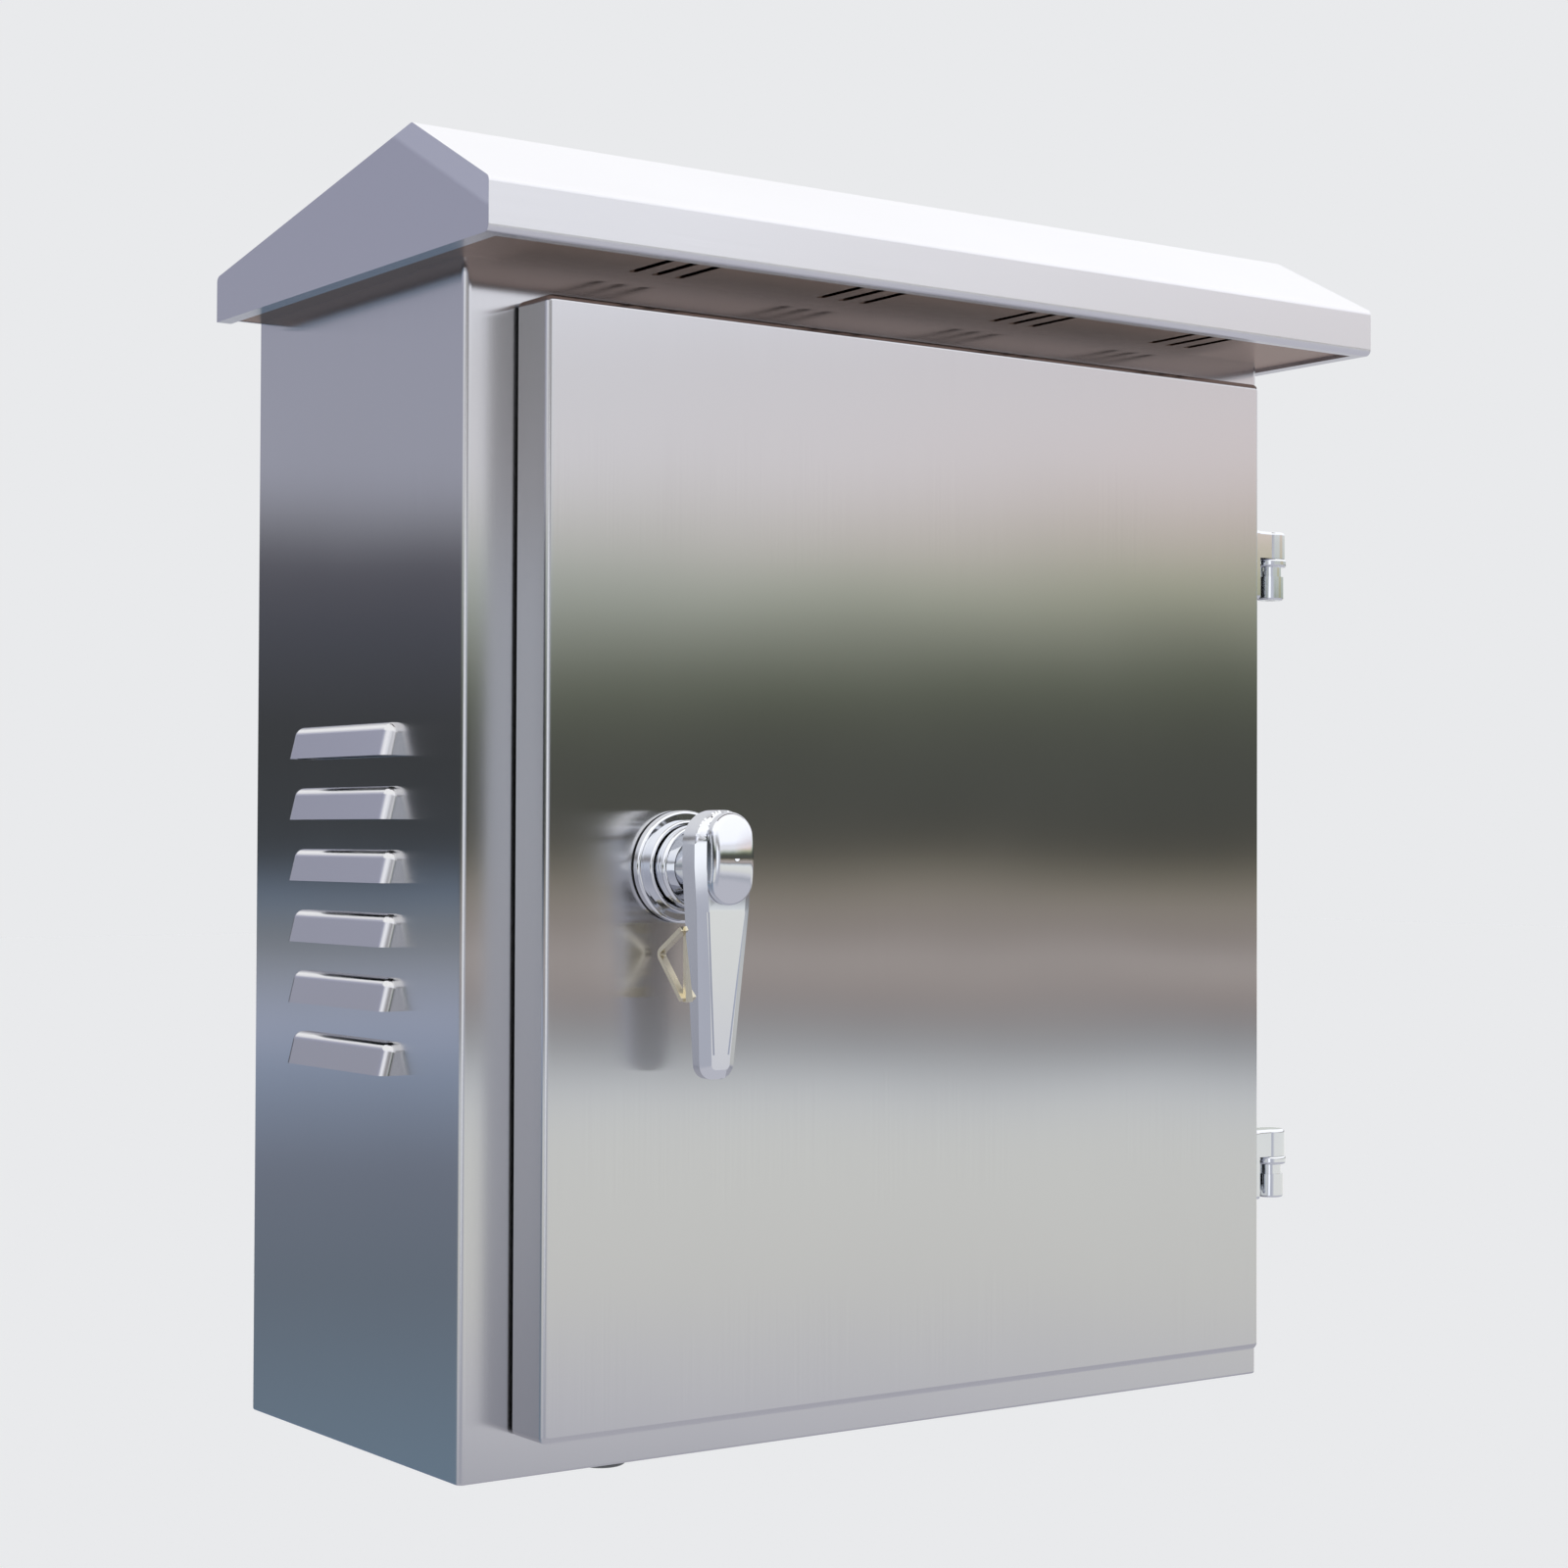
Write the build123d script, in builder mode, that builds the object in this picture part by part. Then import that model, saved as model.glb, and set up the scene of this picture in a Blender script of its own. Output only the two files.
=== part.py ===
from build123d import *
import os
from math import atan2, degrees, pi, sin, sqrt

os.makedirs("parts", exist_ok=True)

# Pole-mounted stainless steel utility cabinet, in millimetres, +Z up, its door facing -Y.
# The origin lies on the pole's axis, at the middle of the lower pole clamp.

# The box
body_width = 448.0
body_height = 500.0
body_depth = 195.0
sheet = 1.5
bend_inside = 1.5
base_edge_radius = 1.0

# The door opening, its rain lip and the door that covers it
door_margin_side = 24.0
door_margin_bottom = 18.0
door_margin_top = 16.0
door_proud = 26.0
door_clearance = 2.0
door_corner_radius = 3.0
door_edge_step = 0.2
lip_inset = 10.0
lip_height = 16.0
lip_corner_radius = 4.0
gasket_width = 8.0
soft_clearance = 0.3
stiffener_places = {"left": -40.0, "right": 100.0}
stiffener_margin = 53.0
stiffener_width = 30.0
stiffener_depth = 12.0
stiffener_foot = 10.0
stiffener_sheet = 1.2

# The pitched rain hood and its slotted soffit
hood_side_overhang = 21.0
hood_front_overhang = 56.0
hood_fascia_height = 20.0
hood_ridge_height = 53.5
hood_ridge_setback = 63.5
hood_back_height = 19.0
hood_hem = 7.0
hood_bend_radius = 3.0
soffit_sheet = 1.2
soffit_gap = 1.5
slot_length = 36.0
slot_width = 4.0
slot_pitch = 11.5
slot_count = 3
slot_setback = 30.0
slot_group_pitch = 97.5
slot_group_shift = 6.0
vent_length = 80.0
vent_width = 8.0
vent_pitch = 97.5
row_margin = 20.0

# The pressed louvres of both side walls
louvre_count = 6
louvre_length = 92.0
louvre_height = 14.0
louvre_reach = 8.0
louvre_crown_reach = 4.5
louvre_pitch = 27.0
louvre_radius = 4.5
louvre_lowest = 162.5
louvre_setback = 100.0

# The pole, the rails that carry the box and the hoops that hold them to the pole
pole_radius = 90.0
rail_inset = 90.0
rail_depth = 30.0
rail_end_margin = 29.0
rail_web_height = 50.0
rail_foot = 22.0
rail_sheet = 2.5
rail_bend_inside = 1.0
rail_bolt_inset = 20.0
hoop_width = 40.0
hoop_thickness = 4.0
hoop_ear = 34.0
hoop_bend_radius = 4.0
hoop_tightening_gap = 5.0

# The mounting plate inside, and the earth studs
plate_margin_side = 24.0
plate_margin_end = 35.0
plate_sheet = 2.0
plate_rise = 12.0
plate_foot = 25.0
plate_bend_inside = 1.0
plate_standoff = 10.0
plate_stud_inset = 15.0
spacer_radius = 5.0
earth_from_right = 74.0
earth_from_front = 60.0
earth_stud_length = 22.0
door_earth_inset = 50.0
door_earth_rise = 60.0
door_earth_length = 15.0

# The hinges, by their axis and the heights of their middles above the base and below the top
hinge_axis_inset = 8.0
hinge_axis_proud = 17.0
hinge_rise = 106.0
hinge_drop = 103.0
hinge_height = 33.0
hinge_knuckle_height = 13.0
hinge_knuckle_radius = 7.0
hinge_arm_width = 11.0
hinge_collar_height = 4.0
hinge_collar_radius = 7.6
hinge_collar_edge = 1.2
hinge_neck_height = 4.7
hinge_neck_radius = 5.2
hinge_barrel_radius = 6.3
hinge_barrel_edge = 1.0
hinge_web_inset = 1.0
hinge_pin_radius = 2.5
hinge_pin_cover = 3.0
hinge_leaf = 2.5
hinge_leaf_width = 20.0
hinge_leaf_shift = 3.0
hinge_corner_radius = 1.5
hinge_foot_width = 17.5
hinge_foot_thickness = 3.0
hinge_stud_spread = 20.0
hinge_stud_overrun = 1.0
door_stud_setback = 9.0
foot_stud_inset = 5.5

# The lever handle, by its axis from the left side and above the base
handle_inset = 89.0
handle_height = 251.0
handle_gasket = 1.0
handle_gasket_setback = 0.8
rosette_tiers = [(23.5, 4.5, 1.3), (19.5, 8.0, 1.0), (16.0, 9.4, 0.0), (17.5, 14.4, 1.6)]
rosette_tube_radius = 10.0
rosette_tube_end = 17.0
rosette_hole_clearance = 0.3
locknut_flats = 27.0
locknut_height = 5.0
lock_washer_rim = 1.0
lever_boss_back_radius = 12.0
lever_boss_front_radius = 13.5
lever_standoff = 23.0
lever_thickness = 12.0
lever_head_radius = 14.0
lever_head_rise = 9.5
lever_tip_drop = 86.5
lever_tip_half_width = 8.0
lever_tip_flat = 1.5
lever_taper_drop = 17.0
lever_taper = 4.6
lever_bevel = 4.0
lever_bevel_depth = 3.0
lever_groove_width = 0.9
lever_groove_depth = 0.6
lever_groove_top_inset = 1.0
lever_groove_tip_inset = 0.4
lever_groove_top_drop = 18.0
lever_groove_end_rise = 10.0
spindle_radius = 6.0
spindle_seat = 25.0
cam_length = 62.0
cam_width = 16.0
cam_hub_radius = 11.0
cam_thickness = 3.0
cam_clearance = 0.8
cam_square = 8.0
cam_screw_depth = 12.0
key_cylinder_radius = 5.5
keyway_width = 1.6
keyway_height = 7.0
keyway_depth = 6.0
cover_width = 20.0
cover_height = 38.0
cover_depth = 7.0
cover_wall = 1.2
cover_edge = 3.4
cover_crown_radius = 55.0
cover_crown_inset = 0.8
cover_rivet_radius = 1.5
cover_rivet_rise = 16.0
cover_rivet_reach = 3.2
cover_boss_radius = 3.0
cover_boss_roof = 1.0
lug_sheet = 2.0
lug_side = 14.0
lug_width = 3.0
lug_end_drops = (25.0, 54.0)
lug_tip_gap = 4.5
lug_tip_drop = 35.5
lug_bend_radius = 2.0
lug_foot_width = 9.0
lug_foot_overlap = 1.0
lug_rivet_drops = (31.0, 48.0)
lug_rivet_radius = 1.6
lug_rivet_head_radius = 3.0
lug_rivet_head = 1.2

# The cable gland in the base
gland_from_left = 130.0
gland_from_front = 100.0
gland_thread_radius = 10.0
gland_neck_radius = 9.0
gland_flats = 26.0
gland_flange = 7.5
gland_locknut = 5.0
gland_cap_length = 15.0
gland_cap_radius = 12.0
gland_cap_end = 3.0
gland_cap_edge = 3.0
gland_washer = 1.5
gland_seal_radius = 6.4
gland_seal_length = 12.0
gland_seal_setback = 1.5
gland_cable_radius = 4.2

# Clearances between pieces that move, and around bolts
running_clearance = 0.05
turning_gap = 0.3
bolt_clearance = 0.5

# Hexagon fasteners, with a plain shank for the thread
threads = {
    "M4": {"radius": 2.0, "flats": 7.0, "nut": 3.2, "head": 2.8, "washer_radius": 4.5, "washer": 0.8},
    "M6": {"radius": 3.0, "flats": 10.0, "nut": 5.0, "head": 4.0, "washer_radius": 6.0, "washer": 1.6},
    "M8": {"radius": 4.0, "flats": 13.0, "nut": 6.8, "head": 5.3, "washer_radius": 8.0, "washer": 1.6},
    "M10": {"radius": 5.0, "flats": 17.0, "nut": 8.4, "head": 6.4, "washer_radius": 10.0, "washer": 2.0},
}
thread_overrun = 2.5
hex_chamfer_share = 0.7
stud_chamfer_share = 0.2

# Where the box stands in the part's frame
left = -body_width / 2
right = body_width / 2
bottom = -rail_inset
top = bottom + body_height
back = -(pole_radius + rail_depth)
front = back - body_depth
middle_y = (front + back) / 2
middle_z = (bottom + top) / 2
bend_outside = bend_inside + sheet
rail_levels = {"lower": 0.0, "upper": body_height - 2 * rail_inset}
flange_face = Plane.XZ.offset(-front)
back_face = Plane.XZ.offset(-back)
towards_back = (-90, 0, 0)
towards_front = (90, 0, 0)
towards_left = (0, -90, 0)

# The door opening and the door's outline
door_left = left + door_margin_side
door_right = right - door_margin_side
door_bottom = bottom + door_margin_bottom
door_top = top - door_margin_top
door_width = door_right - door_left
door_height = door_top - door_bottom
door_z = (door_bottom + door_top) / 2
door_front = front - door_proud
door_inner = door_front + sheet
door_depth = door_proud - door_clearance
opening_width = door_width - 2 * lip_inset
opening_height = door_height - 2 * lip_inset

hinge_levels = {"lower": bottom + hinge_rise, "upper": top - hinge_drop}
hinge_x = right - hinge_axis_inset
hinge_y = front - hinge_axis_proud
handle_x = left + handle_inset
handle_z = bottom + handle_height
gland_x = left + gland_from_left
gland_y = front + gland_from_front


def hex_prism(across_flats, height):
    """A hexagon along +Z from the XY plane, its corners rounded off by a cone at both ends."""
    corner_radius = across_flats / sqrt(3)
    with BuildPart() as turned:
        Cylinder(corner_radius, height, align=(Align.CENTER, Align.CENTER, Align.MIN))
        corner_cut = (corner_radius - across_flats / 2) * hex_chamfer_share
        chamfer(turned.edges().filter_by(GeomType.CIRCLE), corner_cut)
    with BuildPart() as prism:
        with BuildSketch():
            RegularPolygon(across_flats / 2, side_count=6, major_radius=False)
        extrude(amount=height)
        add(turned.part, mode=Mode.INTERSECT)
    return prism.part


def hex_nut(thread):
    """A nut that stands on the XY plane."""
    with BuildPart() as nut:
        add(hex_prism(thread["flats"], thread["nut"]))
        Hole(thread["radius"])
    return nut.part


def hex_bolt(thread, length):
    """A bolt whose head stands on the XY plane and whose shank hangs below it."""
    with BuildPart() as bolt:
        add(hex_prism(thread["flats"], thread["head"]))
        Cylinder(thread["radius"], length, align=(Align.CENTER, Align.CENTER, Align.MAX))
    return bolt.part


def washer(thread):
    """A flat washer that lies on the XY plane."""
    with BuildPart() as ring:
        with BuildSketch():
            Circle(thread["washer_radius"])
            Circle(thread["radius"], mode=Mode.SUBTRACT)
        extrude(amount=thread["washer"])
    return ring.part


def stud(thread, length):
    """A welded stud that stands on the XY plane."""
    with BuildPart() as rod:
        Cylinder(thread["radius"], length, align=(Align.CENTER, Align.CENTER, Align.MIN))
        end_rim = rod.edges().filter_by(GeomType.CIRCLE).sort_by(Axis.Z)[-1]
        chamfer(end_rim, thread["radius"] * stud_chamfer_share)
    return rod.part


def louvre(length, height, reach, crown_reach, radius, start):
    """The outer form of a louvre on a wall that faces +X, its mouth down at the XY plane."""
    with BuildPart() as form:
        with BuildSketch(Plane.XZ.offset(-length / 2)):
            with BuildLine():
                Polyline((start, 0), (reach, 0), (crown_reach, height), (start, height), close=True)
            make_face()
        extrude(amount=length)
        outer_edges = form.faces().sort_by(Axis.X)[-1].edges().sort_by(Axis.Z)[1:]
        crown_edges = form.faces().sort_by(Axis.Z)[-1].edges().filter_by(Axis.X)
        fillet([*outer_edges, *crown_edges], radius)
    return form.part


# Cabinet body: one folded and welded shell with a front flange, a rain lip and pressed louvres
louvre_skin = louvre(louvre_length, louvre_height, louvre_reach, louvre_crown_reach,
                     louvre_radius, -sheet / 2)
louvre_hollow = louvre(louvre_length - 2 * sheet, louvre_height - sheet, louvre_reach - sheet,
                       louvre_crown_reach - sheet, louvre_radius - sheet, -2 * sheet)
louvre_y = front + louvre_setback
louvre_places = [Location((x, louvre_y, bottom + louvre_lowest + row * louvre_pitch), (0, 0, turn))
                 for x, turn in ((right, 0), (left, 180)) for row in range(louvre_count)]
hoop_bolt_x = pole_radius + hoop_thickness + hoop_ear / 2
rail_length = 2 * (hoop_bolt_x + rail_end_margin)
rail_bolt_spread = rail_length - 2 * rail_bolt_inset
rail_bolt_places = [(side * rail_bolt_spread / 2, level + over * (rail_web_height + rail_foot) / 2)
                    for level in rail_levels.values() for over in (-1, 1) for side in (-1, 1)]
foot_stud_x = hinge_x + hinge_axis_inset - bend_outside - hinge_foot_width + foot_stud_inset
foot_stud_places = [(foot_stud_x, level + side * hinge_stud_spread / 2)
                    for level in hinge_levels.values() for side in (-1, 1)]
vent_count = int((body_width - 2 * row_margin) // vent_pitch)

with BuildPart() as cabinet_body:
    with BuildSketch(Plane.XY.offset(bottom)):
        with Locations((0, middle_y)):
            RectangleRounded(body_width, body_depth, bend_outside)
    extrude(amount=body_height)
    fillet(cabinet_body.faces().sort_by(Axis.Z)[0].edges(), base_edge_radius)
    with BuildSketch(Plane.XY.offset(bottom + sheet)):
        with Locations((0, middle_y)):
            RectangleRounded(body_width - 2 * sheet, body_depth - 2 * sheet, bend_inside)
    extrude(amount=body_height - 2 * sheet, mode=Mode.SUBTRACT)
    with BuildSketch(flange_face):
        with Locations((0, door_z)):
            RectangleRounded(opening_width + 2 * sheet, opening_height + 2 * sheet,
                             lip_corner_radius + sheet)
    extrude(amount=lip_height)
    with BuildSketch(flange_face.offset(lip_height)):
        with Locations((0, door_z)):
            RectangleRounded(opening_width, opening_height, lip_corner_radius)
    extrude(amount=-(lip_height + sheet), mode=Mode.SUBTRACT)
    with Locations(*louvre_places):
        add(louvre_skin)
    with Locations(*louvre_places):
        add(louvre_hollow, mode=Mode.SUBTRACT)
    with BuildSketch(back_face):
        with Locations(*rail_bolt_places):
            Circle(threads["M8"]["radius"] + bolt_clearance)
    extrude(amount=sheet, mode=Mode.SUBTRACT)
    with BuildSketch(flange_face):
        with Locations(*foot_stud_places):
            Circle(threads["M4"]["radius"] + bolt_clearance)
    extrude(amount=-sheet, mode=Mode.SUBTRACT)
    with BuildSketch(Plane.XY.offset(bottom)):
        with Locations((gland_x, gland_y)):
            Circle(gland_thread_radius + bolt_clearance)
    extrude(amount=sheet, mode=Mode.SUBTRACT)
    with BuildSketch(Plane.XY.offset(top)):
        with Locations((0, middle_y)):
            with GridLocations(vent_pitch, 0, vent_count, 1):
                SlotOverall(vent_length, vent_width)
    extrude(amount=-sheet, mode=Mode.SUBTRACT)
cabinet_body.part.label = "cabinet_body"
export_step(cabinet_body.part, "parts/cabinet_body.step")

# Hood soffit: the sheet that closes the hood from below, with its groups of drip-proof slots
soffit_front = front - hood_front_overhang + sheet + soffit_gap
soffit_back = back - sheet - soffit_gap
soffit_width = body_width + 2 * (hood_side_overhang - sheet - soffit_gap)
slot_y = front - slot_setback
slot_group_count = int((body_width - 2 * row_margin) // slot_group_pitch)

with BuildPart() as hood_soffit:
    with BuildSketch(Plane.XY.offset(top)):
        with Locations((0, (soffit_front + soffit_back) / 2)):
            Rectangle(soffit_width, soffit_back - soffit_front)
        with Locations((slot_group_shift, slot_y)):
            with GridLocations(slot_group_pitch, 0, slot_group_count, 1):
                with GridLocations(slot_pitch, 0, slot_count, 1):
                    SlotOverall(slot_length, slot_width, rotation=90, mode=Mode.SUBTRACT)
        with Locations((0, middle_y)):
            with GridLocations(vent_pitch, 0, vent_count, 1):
                SlotOverall(vent_length, vent_width, mode=Mode.SUBTRACT)
    extrude(amount=soffit_sheet)
hood_soffit.part.label = "hood_soffit"
export_step(hood_soffit.part, "parts/hood_soffit.step")

# Rain hood: a pitched roof with a front fascia, welded end plates and a narrow hem below
hood_front = front - hood_front_overhang
hood_width = body_width + 2 * hood_side_overhang
hood_base = top - sheet
hood_corners = [(hood_front, hood_base), (hood_front, top + hood_fascia_height),
                (hood_front + hood_ridge_setback, top + hood_ridge_height),
                (back, top + hood_back_height), (back, hood_base)]

with BuildPart() as rain_hood:
    with BuildSketch(Plane.YZ.offset(-hood_width / 2)) as hood_profile:
        with BuildLine():
            Polyline(*hood_corners, close=True)
        make_face()
        fillet(hood_profile.vertices().sort_by(Axis.Y)[2:], hood_bend_radius)
        fillet(hood_profile.vertices().group_by(Axis.X)[0].sort_by(Axis.Y)[0], hood_bend_radius)
    extrude(amount=hood_width)
    with BuildSketch(Plane.YZ.offset(-hood_width / 2 + sheet)):
        with BuildLine():
            Polyline(*hood_corners, close=True)
        make_face()
        offset(amount=-sheet)
    extrude(amount=hood_width - 2 * sheet, mode=Mode.SUBTRACT)
    with BuildSketch(Plane.XY.offset(hood_base)):
        with Locations((0, (hood_front + hood_hem + back) / 2)):
            Rectangle(hood_width - 2 * hood_hem, back - hood_front - hood_hem)
    extrude(amount=sheet, mode=Mode.SUBTRACT)
rain_hood.part.label = "rain_hood"
export_step(rain_hood.part, "parts/rain_hood.step")

# Pole rails: hat sections bolted to the back wall, their webs against the pole
rail_hole_radius = threads["M8"]["radius"] + bolt_clearance
hoop_hole_radius = threads["M10"]["radius"] + bolt_clearance
rail_web = Plane.XZ.offset(pole_radius)

for name, level in rail_levels.items():
    with BuildPart() as pole_rail:
        with BuildSketch(Plane.YZ.offset(-rail_length / 2)) as hat:
            with Locations((back + rail_depth / 2, level)):
                Rectangle(rail_depth, rail_web_height)
            with Locations((back + rail_sheet / 2, level)):
                Rectangle(rail_sheet, rail_web_height + 2 * rail_foot)
            with Locations((back + (rail_depth - rail_sheet) / 2, level)):
                Rectangle(rail_depth - rail_sheet, rail_web_height - 2 * rail_sheet,
                          mode=Mode.SUBTRACT)
            web_corners = hat.vertices().group_by(Axis.X)[-1]
            fillet(web_corners, rail_sheet + rail_bend_inside)
        extrude(amount=rail_length)
        with BuildSketch(back_face):
            with Locations((0, level)):
                with GridLocations(rail_bolt_spread, rail_web_height + rail_foot, 2, 2):
                    Circle(rail_hole_radius)
        extrude(amount=-rail_sheet, mode=Mode.SUBTRACT)
        with BuildSketch(rail_web):
            with Locations((-hoop_bolt_x, level), (hoop_bolt_x, level)):
                Circle(hoop_hole_radius)
        extrude(amount=rail_sheet, mode=Mode.SUBTRACT)
    pole_rail.part.label = f"pole_rail_{name}"
    export_step(pole_rail.part, f"parts/pole_rail_{name}.step")

# Pole hoops: flat bar bent round the back of the pole, with an ear at each end
ear_front = -pole_radius + hoop_tightening_gap
ear_back = ear_front + hoop_thickness
hoop_outer = pole_radius + hoop_thickness
leg_middle = pole_radius + hoop_thickness / 2

for name, level in rail_levels.items():
    with BuildPart() as pole_hoop:
        with BuildSketch(Plane.XY.offset(level - hoop_width / 2)) as bar:
            Circle(hoop_outer)
            with Locations((0, ear_front / 2)):
                Rectangle(2 * hoop_outer, -ear_front)
            with Locations((0, (ear_front + ear_back) / 2)):
                Rectangle(2 * (hoop_outer + hoop_ear), hoop_thickness)
            Circle(pole_radius, mode=Mode.SUBTRACT)
            with Locations((0, -pole_radius)):
                Rectangle(2 * pole_radius, 2 * pole_radius, mode=Mode.SUBTRACT)
            bend_corners = bar.vertices().filter_by_position(Axis.Y, ear_front, ear_back)
            inner_corners = [v for v in bend_corners if leg_middle < abs(v.X) < hoop_bolt_x]
            outer_corners = [v for v in bend_corners if abs(v.X) < leg_middle]
            fillet(inner_corners, hoop_bend_radius)
            fillet(outer_corners, hoop_bend_radius + hoop_thickness)
        extrude(amount=hoop_width)
        with BuildSketch(Plane.XZ.offset(-ear_back)):
            with Locations((-hoop_bolt_x, level), (hoop_bolt_x, level)):
                Circle(hoop_hole_radius)
        extrude(amount=hoop_thickness, mode=Mode.SUBTRACT)
    pole_hoop.part.label = f"pole_hoop_{name}"
    export_step(pole_hoop.part, f"parts/pole_hoop_{name}.step")

# Fasteners of the rails and hoops
m8 = threads["M8"]
m10 = threads["M10"]
hoop_bolt_spots = [(side * hoop_bolt_x, level) for level in rail_levels.values() for side in (-1, 1)]
wall_inner = back - sheet
foot_outer = back + rail_sheet
web_inner = -pole_radius - rail_sheet
rail_bolt_length = foot_outer - wall_inner + 2 * m8["washer"] + m8["nut"] + thread_overrun
hoop_bolt_length = ear_back - web_inner + 2 * m10["washer"] + m10["nut"] + thread_overrun

with BuildPart() as rail_bolts:
    with Locations(*[Location((x, wall_inner - m8["washer"], z), towards_front)
                     for x, z in rail_bolt_places]):
        add(hex_bolt(m8, rail_bolt_length))
rail_bolts.part.label = "rail_bolts"
export_step(rail_bolts.part, "parts/rail_bolts.step")

with BuildPart() as rail_washers:
    with Locations(*[Location((x, y, z), towards_back) for x, z in rail_bolt_places
                     for y in (wall_inner - m8["washer"], foot_outer)]):
        add(washer(m8))
rail_washers.part.label = "rail_washers"
export_step(rail_washers.part, "parts/rail_washers.step")

with BuildPart() as rail_nuts:
    with Locations(*[Location((x, foot_outer + m8["washer"], z), towards_back)
                     for x, z in rail_bolt_places]):
        add(hex_nut(m8))
rail_nuts.part.label = "rail_nuts"
export_step(rail_nuts.part, "parts/rail_nuts.step")

with BuildPart() as hoop_bolts:
    with Locations(*[Location((x, ear_back + m10["washer"], z), towards_back)
                     for x, z in hoop_bolt_spots]):
        add(hex_bolt(m10, hoop_bolt_length))
hoop_bolts.part.label = "hoop_bolts"
export_step(hoop_bolts.part, "parts/hoop_bolts.step")

with BuildPart() as hoop_washers:
    with Locations(*[Location((x, y, z), towards_back) for x, z in hoop_bolt_spots
                     for y in (ear_back, web_inner - m10["washer"])]):
        add(washer(m10))
hoop_washers.part.label = "hoop_washers"
export_step(hoop_washers.part, "parts/hoop_washers.step")

with BuildPart() as hoop_nuts:
    with Locations(*[Location((x, web_inner - m10["washer"], z), towards_front)
                     for x, z in hoop_bolt_spots]):
        add(hex_nut(m10))
hoop_nuts.part.label = "hoop_nuts"
export_step(hoop_nuts.part, "parts/hoop_nuts.step")

# Mounting plate: a raised sheet between two feet, whose nuts stay below its face, on four welded studs
m6 = threads["M6"]
plate_back = wall_inner - plate_standoff
foot_front = plate_back - plate_sheet
plate_front = plate_back - plate_rise
plate_width = body_width - 2 * plate_margin_side
plate_height = body_height - 2 * plate_margin_end
plate_face_width = plate_width - 2 * plate_foot
plate_stud_length = plate_standoff + plate_sheet + m6["washer"] + m6["nut"] + thread_overrun
plate_stud_x = (plate_width - plate_foot) / 2
plate_stud_rise = plate_height / 2 - plate_stud_inset
plate_stud_spots = [(side * plate_stud_x, middle_z + over * plate_stud_rise)
                    for side in (-1, 1) for over in (-1, 1)]

with BuildPart() as mounting_plate:
    with BuildSketch(Plane.XY.offset(middle_z - plate_height / 2)) as tray:
        with Locations((0, (plate_back + plate_front) / 2)):
            Rectangle(plate_face_width, plate_rise)
        with Locations((0, (plate_back + foot_front) / 2)):
            Rectangle(plate_width, plate_sheet)
        with Locations((0, (plate_back + plate_front + plate_sheet) / 2)):
            Rectangle(plate_face_width - 2 * plate_sheet, plate_rise - plate_sheet, mode=Mode.SUBTRACT)
        fillet(tray.vertices().group_by(Axis.Y)[0], plate_sheet + plate_bend_inside)
    extrude(amount=plate_height)
    with BuildSketch(Plane.XZ.offset(-plate_back)):
        with Locations(*plate_stud_spots):
            Circle(m6["radius"] + bolt_clearance)
    extrude(amount=plate_sheet, mode=Mode.SUBTRACT)
mounting_plate.part.label = "mounting_plate"
export_step(mounting_plate.part, "parts/mounting_plate.step")

with BuildPart() as plate_studs:
    with Locations(*[Location((x, wall_inner, z), towards_front) for x, z in plate_stud_spots]):
        add(stud(m6, plate_stud_length))
plate_studs.part.label = "plate_studs"
export_step(plate_studs.part, "parts/plate_studs.step")

with BuildPart() as plate_spacers:
    with BuildSketch(Plane.XZ.offset(-wall_inner)):
        with Locations(*plate_stud_spots):
            Circle(spacer_radius)
            Circle(m6["radius"], mode=Mode.SUBTRACT)
    extrude(amount=plate_standoff)
plate_spacers.part.label = "plate_spacers"
export_step(plate_spacers.part, "parts/plate_spacers.step")

with BuildPart() as plate_washers:
    with Locations(*[Location((x, foot_front, z), towards_front) for x, z in plate_stud_spots]):
        add(washer(m6))
plate_washers.part.label = "plate_washers"
export_step(plate_washers.part, "parts/plate_washers.step")

with BuildPart() as plate_nuts:
    with Locations(*[Location((x, foot_front - m6["washer"], z), towards_front)
                     for x, z in plate_stud_spots]):
        add(hex_nut(m6))
plate_nuts.part.label = "plate_nuts"
export_step(plate_nuts.part, "parts/plate_nuts.step")

# Earth stud on the floor of the box, with two nuts that hold the earth lead's eyelet
earth_x = right - earth_from_right
earth_y = front + earth_from_front
earth_floor = bottom + sheet
earth_nut_levels = [earth_floor, earth_floor + m6["nut"] + m6["washer"]]

with BuildPart() as earth_stud:
    with Locations((earth_x, earth_y, earth_floor)):
        add(stud(m6, earth_stud_length))
earth_stud.part.label = "earth_stud"
export_step(earth_stud.part, "parts/earth_stud.step")

with BuildPart() as earth_nuts:
    with Locations(*[(earth_x, earth_y, z) for z in earth_nut_levels]):
        add(hex_nut(m6))
earth_nuts.part.label = "earth_nuts"
export_step(earth_nuts.part, "parts/earth_nuts.step")

with BuildPart() as earth_washer:
    with Locations((earth_x, earth_y, earth_floor + m6["nut"])):
        add(washer(m6))
earth_washer.part.label = "earth_washer"
export_step(earth_washer.part, "parts/earth_washer.step")

# Cable gland through the base: washer, body, locknut inside, rubber seal and clamping cap
gland_shoulder = bottom - gland_washer
gland_hex_base = gland_shoulder - gland_flange
gland_bore_radius = gland_seal_radius
gland_thread_top = bottom + sheet + gland_locknut + thread_overrun
gland_neck_drop = gland_cap_length - gland_cap_end
gland_cap_base = gland_hex_base - gland_cap_length
seal_base = gland_cap_base + gland_seal_setback

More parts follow.
